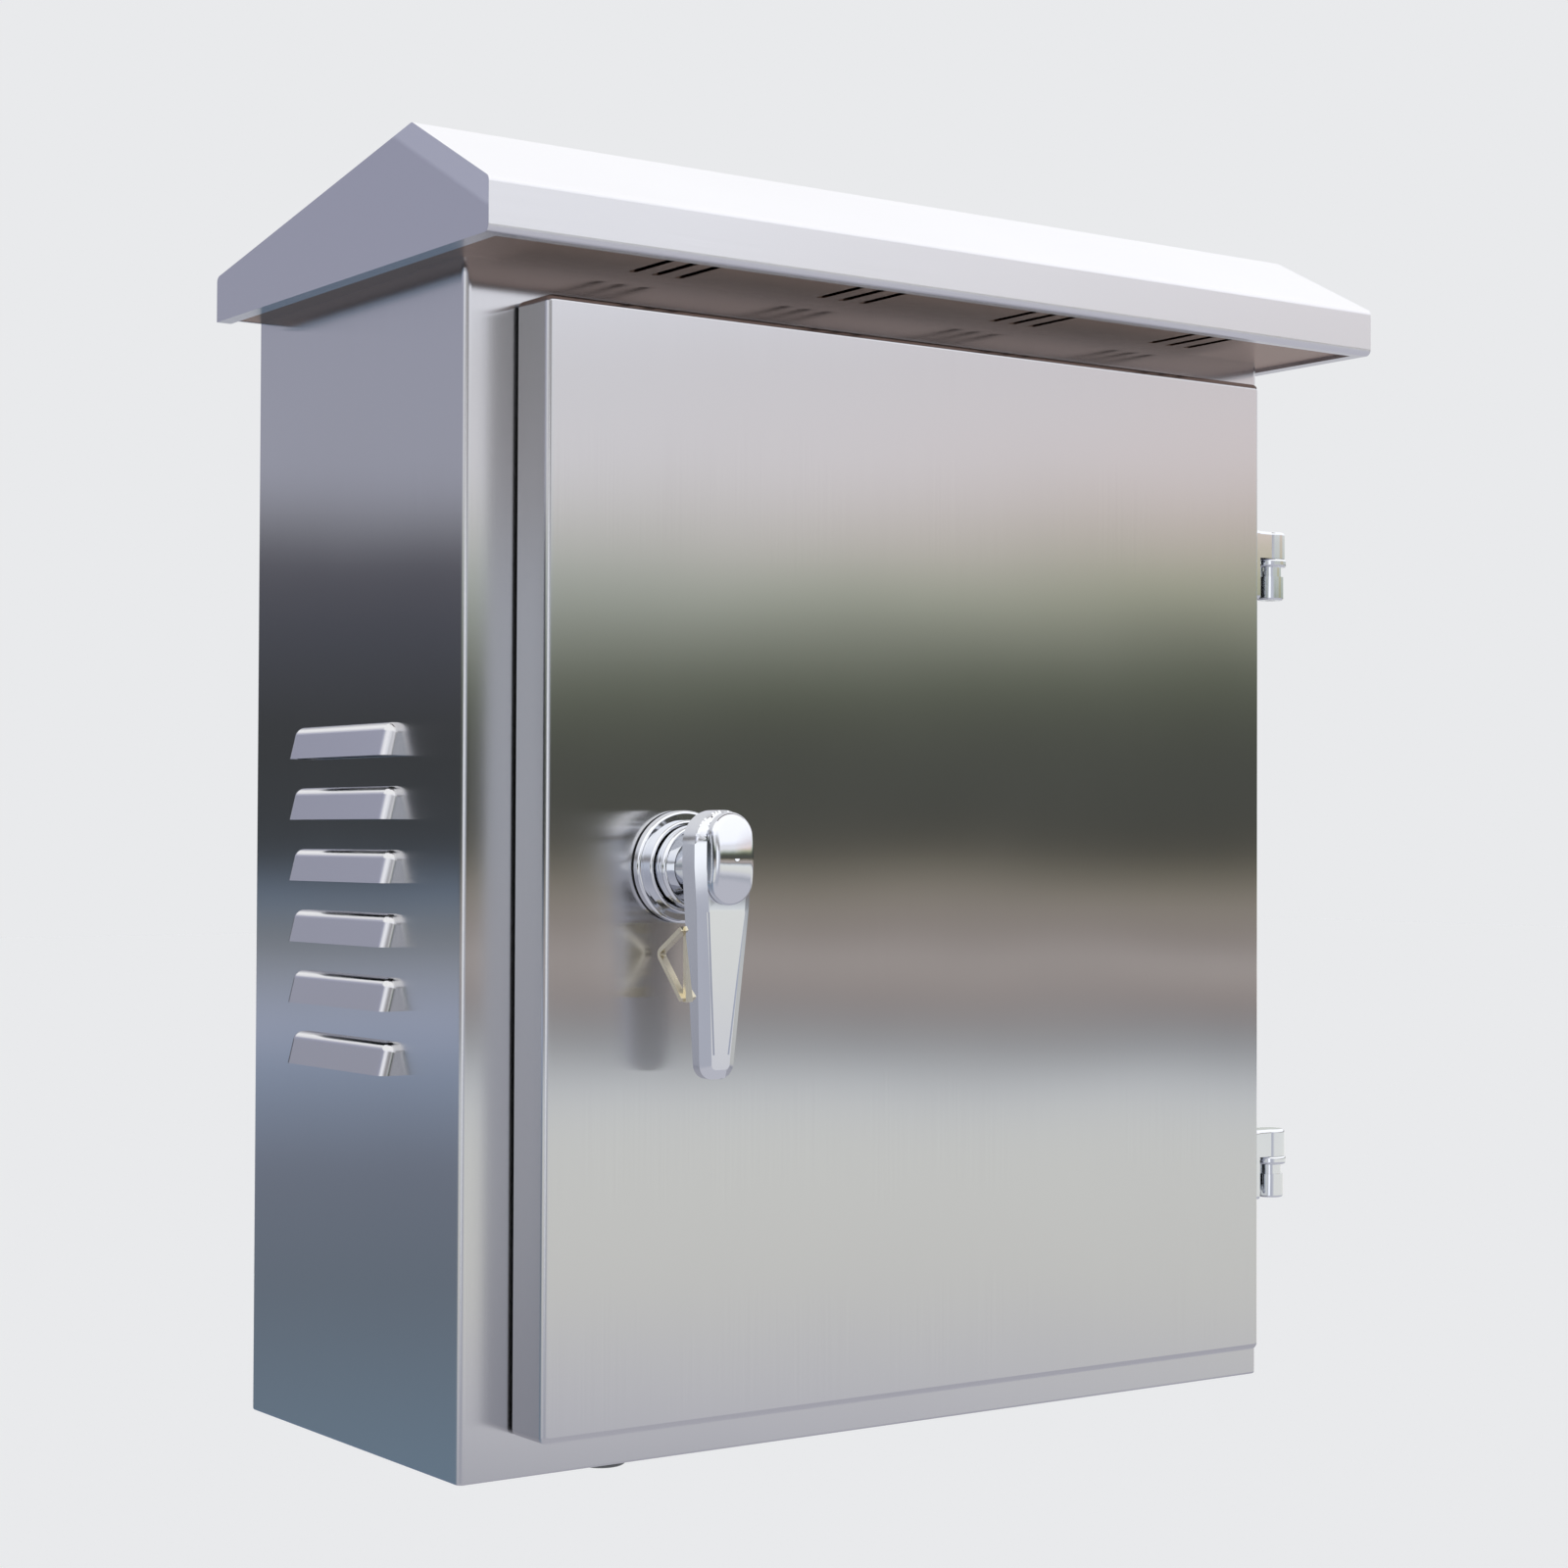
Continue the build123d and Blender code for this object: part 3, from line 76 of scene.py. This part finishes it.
def add_node(tree, kind, settings=(), links=()):
    """Adds a shader node, sets its properties and sockets, and joins sockets to the outputs given."""
    node = tree.nodes.new(kind)
    for name, value in dict(settings).items():
        if isinstance(name, int) or name in node.inputs:
            node.inputs[name].default_value = value
        else:
            setattr(node, name, value)
    for name, output in dict(links).items():
        tree.links.new(output, node.inputs[name])
    return node


def new_material(name):
    """An empty node material."""
    material = bpy.data.materials.new(name)
    material.use_nodes = True
    material.node_tree.nodes.clear()
    return material


def give(material, *names):
    """Puts a material on the CAD nodes named."""
    for name in names:
        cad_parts[name].material_slots[0].material = material


def brushed_steel(name, colour, roughness, grain, tangent_axis, end_plates=None):
    """Brushed stainless sheet: streaks as long and as wide as grain says, smeared reflections across them.

    The brush turns round tangent_axis, and faces that point along that axis have their own direction.
    end_plates, for the hood, holds the tint of those faces, the direction away from the strip along their
    edge that keeps the full colour, how far in that direction the strip ends, and how soft its end is.
    """
    material = new_material(name)
    tree = material.node_tree
    place = add_node(tree, "ShaderNodeTexCoord")
    stretch = add_node(tree, "ShaderNodeMapping", {"Scale": [1 / size for size in grain]},
                       {"Vector": place.outputs["Object"]})
    streaks = add_node(tree, "ShaderNodeTexNoise", {"Scale": 1.0, "Detail": 3.0, "Roughness": 0.6},
                       {"Vector": stretch.outputs["Vector"]})
    clouds = add_node(tree, "ShaderNodeTexNoise", {"Scale": 1 / cloud_width, "Detail": 2.0},
                      {"Vector": place.outputs["Object"]})
    light = linear(colour)
    dark = [part * groove_shade for part in light[:3]] + [1.0]
    tone = add_node(tree, "ShaderNodeMix", {"data_type": "RGBA", 6: dark, 7: light},
                    {0: streaks.outputs["Fac"]})
    sheen = add_node(tree, "ShaderNodeMapRange",
                     {"To Min": roughness - sheen_below, "To Max": roughness + sheen_above},
                     {"Value": clouds.outputs["Fac"]})
    dents = add_node(tree, "ShaderNodeTexNoise", {"Scale": 1 / dent_width, "Detail": 1.0},
                     {"Vector": place.outputs["Object"]})
    buckle = add_node(tree, "ShaderNodeBump", {"Strength": 1.0, "Distance": dent_depth},
                      {"Height": dents.outputs["Fac"]})
    scratch = add_node(tree, "ShaderNodeBump", {"Strength": scratch_strength, "Distance": scratch_depth},
                       {"Height": streaks.outputs["Fac"], "Normal": buckle.outputs["Normal"]})
    end_axis = "X" if tangent_axis == "Z" else "Z"
    around, on_ends = [add_node(tree, "ShaderNodeTangent", {"direction_type": "RADIAL", "axis": axis})
                       for axis in (tangent_axis, end_axis)]
    facing = add_node(tree, "ShaderNodeSeparateXYZ", links={"Vector": place.outputs["Normal"]})
    along = add_node(tree, "ShaderNodeMath", {"operation": "ABSOLUTE"}, {0: facing.outputs[tangent_axis]})
    is_end = add_node(tree, "ShaderNodeMath", {"operation": "GREATER_THAN", 1: end_facing},
                      {0: along.outputs["Value"]})
    if end_plates:
        tint, inwards, strip_end, softness = end_plates
        depth = add_node(tree, "ShaderNodeVectorMath", {"operation": "DOT_PRODUCT", 1: inwards},
                         {0: place.outputs["Object"]})
        unground = add_node(tree, "ShaderNodeMapRange",
                            {"From Min": strip_end, "From Max": strip_end + softness},
                            {"Value": depth.outputs["Value"]})
        dulled = add_node(tree, "ShaderNodeMath", {"operation": "MULTIPLY"},
                          {0: is_end.outputs["Value"], 1: unground.outputs["Result"]})
        tone = add_node(tree, "ShaderNodeMix",
                        {"data_type": "RGBA", "blend_type": "MULTIPLY", 7: linear(tint)},
                        {0: dulled.outputs["Value"], 6: tone.outputs[2]})
    across = add_node(tree, "ShaderNodeMix", {"data_type": "VECTOR"},
                      {0: is_end.outputs["Value"], 4: around.outputs["Tangent"],
                       5: on_ends.outputs["Tangent"]})
    shader = add_node(tree, "ShaderNodeBsdfPrincipled", {"Metallic": 1.0, "Anisotropic": 1.0},
                      {"Base Color": tone.outputs[2], "Roughness": sheen.outputs["Result"],
                       "Normal": scratch.outputs["Normal"], "Tangent": across.outputs[1]})
    add_node(tree, "ShaderNodeOutputMaterial", links={"Surface": shader.outputs["BSDF"]})
    return material


upright_grain = (grain_width, grain_width, grain_length)
upright_steel = brushed_steel("upright_brushed_stainless", "#D6D6D8", 0.145, upright_grain, "Z")
give(upright_steel, "cabinet_body", "door_panel", "door_stiffener_left", "door_stiffener_right")

# Rain hood
# One stainless sheet, brushed along the ridge, is folded to both slopes and the fascia. Its end plates are
# welded on and a little duller, up to a strip along the front slope where the weld was ground bright.
end_tint = "#E7E7E9"
hood_eave = Vector((0, -0.371, 0.430))
hood_ridge = Vector((0, -0.3075, 0.4635))
ground_width = 0.009
ground_softness = 0.002
front_slope = (hood_ridge - hood_eave).normalized()
below_slope = Vector((0, front_slope.z, -front_slope.y))
ground_end = below_slope.dot(hood_eave) + ground_width
ridge_grain = (grain_length, grain_width, grain_width)
hood_steel = brushed_steel("hood_brushed_stainless", "#ECECF0", 0.20, ridge_grain, "X",
                           (end_tint, below_slope, ground_end, ground_softness))
give(hood_steel, "rain_hood")

# Hood soffit
# A stainless sheet, 1.2 mm thick, is welded in and closes the hood from below. It is a little rougher, and
# its colour is darker and warmer than the other sheet: painted shade from the hood over it and a painted
# brown reflection.
soffit_steel_painted_shade = brushed_steel("soffit_stainless_painted_shade", "#AC9384", 0.26, ridge_grain, "X")
give(soffit_steel_painted_shade, "hood_soffit")

# Rails and hoops on the back
# Two hat rails are folded from 2.5 mm stainless sheet, brushed along their length, and bolted to the back
# wall. Two hoops are bent from 4 mm flat bar with the body's finish, and bolted to the rails by their ears.
rail_steel = brushed_steel("lengthwise_brushed_stainless", "#ECECF0", 0.20, ridge_grain, "X")
give(rail_steel, "pole_rail_lower", "pole_rail_upper")
give(upright_steel, "pole_hoop_lower", "pole_hoop_upper")

# Hinges, lever lock and key cover
# Zinc castings with bright chrome plating, a little wavy under it. The lever and the hinge leaves come with
# rounded edges, as castings leave the mould. All are held by their own studs, pins and nuts.
casting_wave = 1 / 90
ripple_strength = 0.05
ripple_depth = 0.0003
chrome = new_material("chrome_plated_zinc_casting")
tree = chrome.node_tree
place = add_node(tree, "ShaderNodeTexCoord")
waves = add_node(tree, "ShaderNodeTexNoise", {"Scale": 1 / casting_wave, "Detail": 1.0},
                 {"Vector": place.outputs["Object"]})
haze = add_node(tree, "ShaderNodeMapRange", {"To Min": 0.05, "To Max": 0.09},
                {"Value": waves.outputs["Fac"]})
ripple = add_node(tree, "ShaderNodeBump", {"Strength": ripple_strength, "Distance": ripple_depth},
                  {"Height": waves.outputs["Fac"]})
shader = add_node(tree, "ShaderNodeBsdfPrincipled", {"Metallic": 1.0, "Base Color": linear("#E6E8EC")},
                  {"Roughness": haze.outputs["Result"], "Normal": ripple.outputs["Normal"]})
add_node(tree, "ShaderNodeOutputMaterial", links={"Surface": shader.outputs["BSDF"]})
give(chrome, "hinge_collar_lower", "hinge_collar_upper", "handle_rosette", "key_cover")
fold_angle = radians(28)
flat_angle = radians(0.5)
same_place = 0.000001
edge_segments = 3
lever_edge = 0.0008
lever_slimmest = 0.00095
leaf_edge = 0.0005
leaf_slimmest = 0.0004


def softened(piece_name, node, body, width, slimmest):
    """A casting in place of a CAD node: its shape with edges rounded by width, except those of slim faces."""
    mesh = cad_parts[node].data.copy()
    mesh.name = piece_name
    shape = bmesh.new()
    shape.from_mesh(mesh)
    bmesh.ops.remove_doubles(shape, verts=shape.verts, dist=same_place)
    bmesh.ops.dissolve_limit(shape, angle_limit=flat_angle, verts=shape.verts, edges=shape.edges)
    slim = [face for face in shape.faces
            if face.calc_area() / max(edge.calc_length() for edge in face.edges) < slimmest]
    edges = [edge for edge in shape.edges if edge.calc_face_angle(0) > fold_angle
             and not any(face in slim for face in edge.link_faces)]
    bmesh.ops.bevel(shape, geom=edges, offset=width, segments=edge_segments, profile=0.5, affect="EDGES",
                    material=-1, clamp_overlap=True)
    for face in shape.faces:
        face.smooth = True
    shape.to_mesh(mesh)
    shape.free()
    mesh.set_sharp_from_angle(angle=fold_angle)
    mesh.materials.clear()
    mesh.materials.append(chrome)
    piece = bpy.data.objects.new(piece_name, mesh)
    bpy.context.scene.collection.objects.link(piece)
    piece.modifiers.new("even_normals", "WEIGHTED_NORMAL").keep_sharp = True
    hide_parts(node)
    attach(piece, body)


softened("lever_casting", "handle_lever", "handle", lever_edge, lever_slimmest)
for level in ("lower", "upper"):
    softened(f"hinge_body_casting_{level}", f"hinge_body_leaf_{level}", "cabinet", leaf_edge, leaf_slimmest)
    softened(f"hinge_door_casting_{level}", f"hinge_door_leaf_{level}", "door", leaf_edge, leaf_slimmest)

# Bolts, nuts, washers, studs and the lock's inner works
# Steel with a thin electroplated coat of zinc: a soft grey shine with a faint blue cloud. They hold the
# rails, hoops, plate, hinges and lock together.
zinc_cloud = 0.004
zinc = new_material("zinc_plated_steel")
tree = zinc.node_tree
place = add_node(tree, "ShaderNodeTexCoord")
clouds = add_node(tree, "ShaderNodeTexNoise", {"Scale": 1 / zinc_cloud, "Detail": 4.0},
                  {"Vector": place.outputs["Object"]})
tone = add_node(tree, "ShaderNodeMix", {"data_type": "RGBA", 6: linear("#BFC3C9"), 7: linear("#D2D2CE")},
                {0: clouds.outputs["Fac"]})
haze = add_node(tree, "ShaderNodeMapRange", {"To Min": 0.28, "To Max": 0.45},
                {"Value": clouds.outputs["Fac"]})
shader = add_node(tree, "ShaderNodeBsdfPrincipled", {"Metallic": 1.0},
                  {"Base Color": tone.outputs[2], "Roughness": haze.outputs["Result"]})
add_node(tree, "ShaderNodeOutputMaterial", links={"Surface": shader.outputs["BSDF"]})
give(zinc, "rail_bolts", "rail_washers", "rail_nuts", "hoop_bolts", "hoop_washers", "hoop_nuts",
     "plate_studs", "plate_spacers", "plate_washers", "plate_nuts", "earth_stud", "earth_nuts",
     "earth_washer", "door_earth_stud", "door_earth_washer", "door_earth_nut", "hinge_pin_lower",
     "hinge_pin_upper", "hinge_body_washers", "hinge_body_nuts", "hinge_door_washers", "hinge_door_nuts",
     "handle_lock_washer", "handle_locknut", "handle_spindle", "lock_cam", "cam_washer", "cam_screw",
     "lug_rivets", "cover_rivet")

# Mounting plate inside
# Hot-dip galvanised sheet, 2 mm thick, with the flat crystals that the zinc forms as it cools. Four studs
# hold it off the back wall.
crystal_size = 0.012
galvanised = new_material("galvanised_sheet")
tree = galvanised.node_tree
place = add_node(tree, "ShaderNodeTexCoord")
crystals = add_node(tree, "ShaderNodeTexVoronoi", {"Scale": 1 / crystal_size},
                    {"Vector": place.outputs["Object"]})
tone = add_node(tree, "ShaderNodeMix", {"data_type": "RGBA", 6: linear("#A9AFB4"), 7: linear("#C6CACD")},
                {0: crystals.outputs["Color"]})
haze = add_node(tree, "ShaderNodeMapRange", {"To Min": 0.35, "To Max": 0.55},
                {"Value": crystals.outputs["Distance"]})
shader = add_node(tree, "ShaderNodeBsdfPrincipled", {"Metallic": 1.0},
                  {"Base Color": tone.outputs[2], "Roughness": haze.outputs["Result"]})
add_node(tree, "ShaderNodeOutputMaterial", links={"Surface": shader.outputs["BSDF"]})
give(galvanised, "mounting_plate")

# Door gasket, handle gasket and the gland's washer and seal
# Black EPDM rubber and foam: matt and pored, with the pores drawn wider than the real ones so that they show.
# The door's strip is glued into the pan, and the others are clamped by the piece they seal.
pore_size = 0.0008
pore_depth = 0.0003
pore_strength = 0.4
rubber = new_material("black_foam_rubber")
tree = rubber.node_tree
place = add_node(tree, "ShaderNodeTexCoord")
pores = add_node(tree, "ShaderNodeTexNoise", {"Scale": 1 / pore_size, "Detail": 2.0},
                 {"Vector": place.outputs["Object"]})
tone = add_node(tree, "ShaderNodeMix", {"data_type": "RGBA", 6: linear("#161617"), 7: linear("#2A2A2B")},
                {0: pores.outputs["Fac"]})
dents = add_node(tree, "ShaderNodeBump", {"Strength": pore_strength, "Distance": pore_depth},
                 {"Height": pores.outputs["Fac"]})
shader = add_node(tree, "ShaderNodeBsdfPrincipled", {"Roughness": 0.85},
                  {"Base Color": tone.outputs[2], "Normal": dents.outputs["Normal"]})
add_node(tree, "ShaderNodeOutputMaterial", links={"Surface": shader.outputs["BSDF"]})
give(rubber, "door_gasket", "handle_gasket", "cable_gland_washer", "cable_gland_seal")

# Cable gland
# Moulded polyamide, dark grey, with the fine satin skin of its mould, drawn coarser than it is so that it
# shows. It is screwed through the base and held by its locknut.
mould_grain = 1 / 900
mould_depth = 0.0002
mould_strength = 0.15
nylon = new_material("moulded_polyamide")
tree = nylon.node_tree
place = add_node(tree, "ShaderNodeTexCoord")
skin = add_node(tree, "ShaderNodeTexNoise", {"Scale": 1 / mould_grain, "Detail": 3.0},
                {"Vector": place.outputs["Object"]})
tone = add_node(tree, "ShaderNodeMix", {"data_type": "RGBA", 6: linear("#4A4C4E"), 7: linear("#585A5C")},
                {0: skin.outputs["Fac"]})
dents = add_node(tree, "ShaderNodeBump", {"Strength": mould_strength, "Distance": mould_depth},
                 {"Height": skin.outputs["Fac"]})
shader = add_node(tree, "ShaderNodeBsdfPrincipled", {"Roughness": 0.45},
                  {"Base Color": tone.outputs[2], "Normal": dents.outputs["Normal"]})
add_node(tree, "ShaderNodeOutputMaterial", links={"Surface": shader.outputs["BSDF"]})
give(nylon, "cable_gland_body", "cable_gland_locknut", "cable_gland_cap")

# Padlock lug and key cylinder
# The lug is a bent brass strip, riveted to the lever's back, and the cylinder is turned from brass. A thin
# nickel wash makes them pale and a little cloudy.
wash_cloud = 1 / 300
brass = new_material("pale_brass")
tree = brass.node_tree
place = add_node(tree, "ShaderNodeTexCoord")
clouds = add_node(tree, "ShaderNodeTexNoise", {"Scale": 1 / wash_cloud, "Detail": 3.0},
                  {"Vector": place.outputs["Object"]})
tone = add_node(tree, "ShaderNodeMix", {"data_type": "RGBA", 6: linear("#DDD3B8"), 7: linear("#EDE6D2")},
                {0: clouds.outputs["Fac"]})
haze = add_node(tree, "ShaderNodeMapRange", {"To Min": 0.22, "To Max": 0.38},
                {"Value": clouds.outputs["Fac"]})
shader = add_node(tree, "ShaderNodeBsdfPrincipled", {"Metallic": 1.0},
                  {"Base Color": tone.outputs[2], "Roughness": haze.outputs["Result"]})
add_node(tree, "ShaderNodeOutputMaterial", links={"Surface": shader.outputs["BSDF"]})
give(brass, "padlock_lug", "key_cylinder")

# Floor
# A wide floor with plain pale paint. The cabinet hangs free above it, as it does on its hoops. The metal
# doesn't mirror the floor, because the surroundings give it its ground.
floor_drop = 1.20
floor_radius = 40.0
floor_mesh = bpy.data.meshes.new("floor")
floor = bpy.data.objects.new("floor", floor_mesh)
bpy.context.scene.collection.objects.link(floor)
floor_shape = bmesh.new()
bmesh.ops.create_grid(floor_shape, x_segments=1, y_segments=1, size=floor_radius)
bmesh.ops.translate(floor_shape, verts=floor_shape.verts, vec=(0, 0, cad_box[0].z - floor_drop))
floor_shape.to_mesh(floor_mesh)
floor_shape.free()
floor_paint = new_material("floor_paint")
tree = floor_paint.node_tree
shader = add_node(tree, "ShaderNodeBsdfDiffuse", {"Color": linear("#FFFFFF")})
add_node(tree, "ShaderNodeOutputMaterial", links={"Surface": shader.outputs["BSDF"]})
floor_mesh.materials.append(floor_paint)
floor.visible_glossy = False

# Surroundings
# The backdrop is plain and pale for the camera. Bare metal also needs something to mirror: bright light from
# above, a dark band at the height of the eye, and grey and pale bands below it. Each ramp holds such colours
# by the sine of the height.
ramp_low = -0.30
ramp_high = 0.60
backdrop_strength = 1.0
sky_strength = 1.25
front_stops = [(-0.30, "#B2B2BA"), (-0.240, "#A2A4AC"), (-0.195, "#C4C4CA"), (-0.150, "#D2D2CE"),
               (-0.100, "#D8D9D5"), (-0.083, "#D2D6DA"), (-0.075, "#A2A6A9"), (-0.067, "#8C9094"),
               (-0.055, "#8C7F7A"), (-0.047, "#A69D98"), (-0.041, "#C0BAB6"), (-0.033, "#807673"),
               (-0.022, "#9E978C"), (-0.012, "#6C6858"), (-0.004, "#40403A"), (0.012, "#484A45"),
               (0.032, "#4A4C45"), (0.052, "#585D4E"), (0.070, "#858A80"), (0.086, "#A9B1AA"),
               (0.104, "#CBCCC9"), (0.126, "#DFDFE3"), (0.163, "#DCDCE0"), (0.190, "#EEF0F8"),
               (0.220, "#F8F9FF"), (0.60, "#FFFFFF")]
rear_stops = [(-0.30, "#6A7C90"), (-0.21, "#6E8090"), (-0.150, "#6A7480"), (-0.110, "#717886"),
              (-0.080, "#8894A8"), (-0.064, "#A0A8BC"), (-0.048, "#949AA6"), (-0.034, "#787C80"),
              (-0.022, "#6C7A8C"), (-0.008, "#3C4044"), (0.036, "#3A3C3E"), (0.070, "#484A52"),
              (0.094, "#56565E"), (0.106, "#86878F"), (0.120, "#9FA1AE"), (0.250, "#9A9CAE"),
              (0.340, "#B4B6C8"), (0.400, "#FFFFFF"), (0.60, "#FFFFFF")]
side_stops = [(-0.30, "#A2A4AE"), (-0.10, "#ACAEB8"), (0.00, "#BCC0CA"), (0.08, "#BCC0CA"),
              (0.12, "#A09EA2"), (0.17, "#8A8888"), (0.22, "#A8A8AA"), (0.30, "#E4E6EC"),
              (0.60, "#F4F5F8")]
warm_stops = [(-0.30, "#FFFFFF"), (0.05, "#FFFFFF"), (0.086, "#FFF6D6"), (0.104, "#FFEBE0"),
              (0.126, "#FFF0EA"), (0.150, "#FFF4F0"), (0.200, "#E6DFDD"), (0.260, "#EEECEC"),
              (0.60, "#FFFFFF")]
gleam_stops = [(-0.30, "#F0F4FC"), (0.00, "#FAFCFF"), (0.60, "#FFFFFF")]
# Each outlook is laid over the front's ramp. It holds its own ramp, its bearing in degrees from the front
# towards +X, the cosines at which it begins and is full, and how it is blended in.
outlooks = ((warm_stops, 52, 0.93, 0.99, "MULTIPLY"), (rear_stops, -150, 0.45, 0.80, "MIX"),
            (side_stops, -40, 0.82, 0.96, "MIX"), (gleam_stops, -48, 0.980, 0.990, "MIX"))
wave_width = 0.10
wave_lift = 0.012
world = bpy.data.worlds.new("surroundings")
bpy.context.scene.world = world
world.use_nodes = True
tree = world.node_tree
tree.nodes.clear()
place = add_node(tree, "ShaderNodeTexCoord")
parts = add_node(tree, "ShaderNodeSeparateXYZ", links={"Vector": place.outputs["Generated"]})
wave = add_node(tree, "ShaderNodeTexNoise", {"Scale": 1 / wave_width, "Detail": 3.0},
                {"Vector": place.outputs["Generated"]})
lift = add_node(tree, "ShaderNodeMapRange", {"To Min": -wave_lift, "To Max": wave_lift},
                {"Value": wave.outputs["Fac"]})
level = add_node(tree, "ShaderNodeMath", {"operation": "ADD"},
                 {0: parts.outputs["Z"], 1: lift.outputs["Result"]})
height = add_node(tree, "ShaderNodeMapRange", {"From Min": ramp_low, "From Max": ramp_high},
                  {"Value": level.outputs["Value"]})


def colour_ramp(stops):
    """The colours of one outlook over the sine of the height, from ramp_low to ramp_high."""
    ramp = add_node(tree, "ShaderNodeValToRGB", links={"Fac": height.outputs["Result"]})
    elements = ramp.color_ramp.elements
    elements[0].position = 0.0
    elements[1].position = 1.0
    elements[0].color = linear(stops[0][1])
    elements[1].color = linear(stops[-1][1])
    for spot, colour in stops[1:-1]:
        elements.new((spot - ramp_low) / (ramp_high - ramp_low)).color = linear(colour)
    return ramp.outputs["Color"]


mirrored = colour_ramp(front_stops)
for stops, bearing, edge, core, blend in outlooks:
    side = (sin(radians(bearing)), -cos(radians(bearing)), 0)
    facing = add_node(tree, "ShaderNodeVectorMath", {"operation": "DOT_PRODUCT", 1: side},
                      {0: place.outputs["Generated"]})
    share = add_node(tree, "ShaderNodeMapRange", {"From Min": edge, "From Max": core},
                     {"Value": facing.outputs["Value"]})
    mirrored = add_node(tree, "ShaderNodeMix", {"data_type": "RGBA", "blend_type": blend},
                        {0: share.outputs["Result"], 6: mirrored, 7: colour_ramp(stops)}).outputs[2]
rays = add_node(tree, "ShaderNodeLightPath")
seen = add_node(tree, "ShaderNodeMix", {"data_type": "RGBA", 6: linear("#E9EAEC")},
                {0: rays.outputs["Is Glossy Ray"], 7: mirrored})
power = add_node(tree, "ShaderNodeMapRange", {"To Min": backdrop_strength, "To Max": sky_strength},
                 {"Value": rays.outputs["Is Glossy Ray"]})
backdrop = add_node(tree, "ShaderNodeBackground",
                    links={"Color": seen.outputs[2], "Strength": power.outputs["Result"]})
add_node(tree, "ShaderNodeOutputWorld", links={"Surface": backdrop.outputs["Background"]})

# Camera
# It stands where the photograph was taken from: 1 m in front of the door and 0.8 m left of its middle, level
# with the lever lock. Its place, lens and turns were fitted to the corners of box, door and hood.
camera_place = (-0.8033, -1.3571, 0.1728)
camera_lens = 66.92
camera_turn = radians(35.37)
camera_tilt = radians(1.08)
camera_roll = radians(0.23)
sensor_width = 36.0
camera_data = bpy.data.cameras.new("camera")
camera_data.lens = camera_lens
camera_data.sensor_width = sensor_width
camera = bpy.data.objects.new("camera", camera_data)
bpy.context.scene.collection.objects.link(camera)
turn = (Matrix.Rotation(-camera_turn, 4, "Z") @ Matrix.Rotation(pi / 2 + camera_tilt, 4, "X")
        @ Matrix.Rotation(camera_roll, 4, "Z"))
camera.matrix_world = Matrix.Translation(camera_place) @ turn
bpy.context.scene.camera = camera
bpy.context.scene.view_settings.view_transform = "Standard"
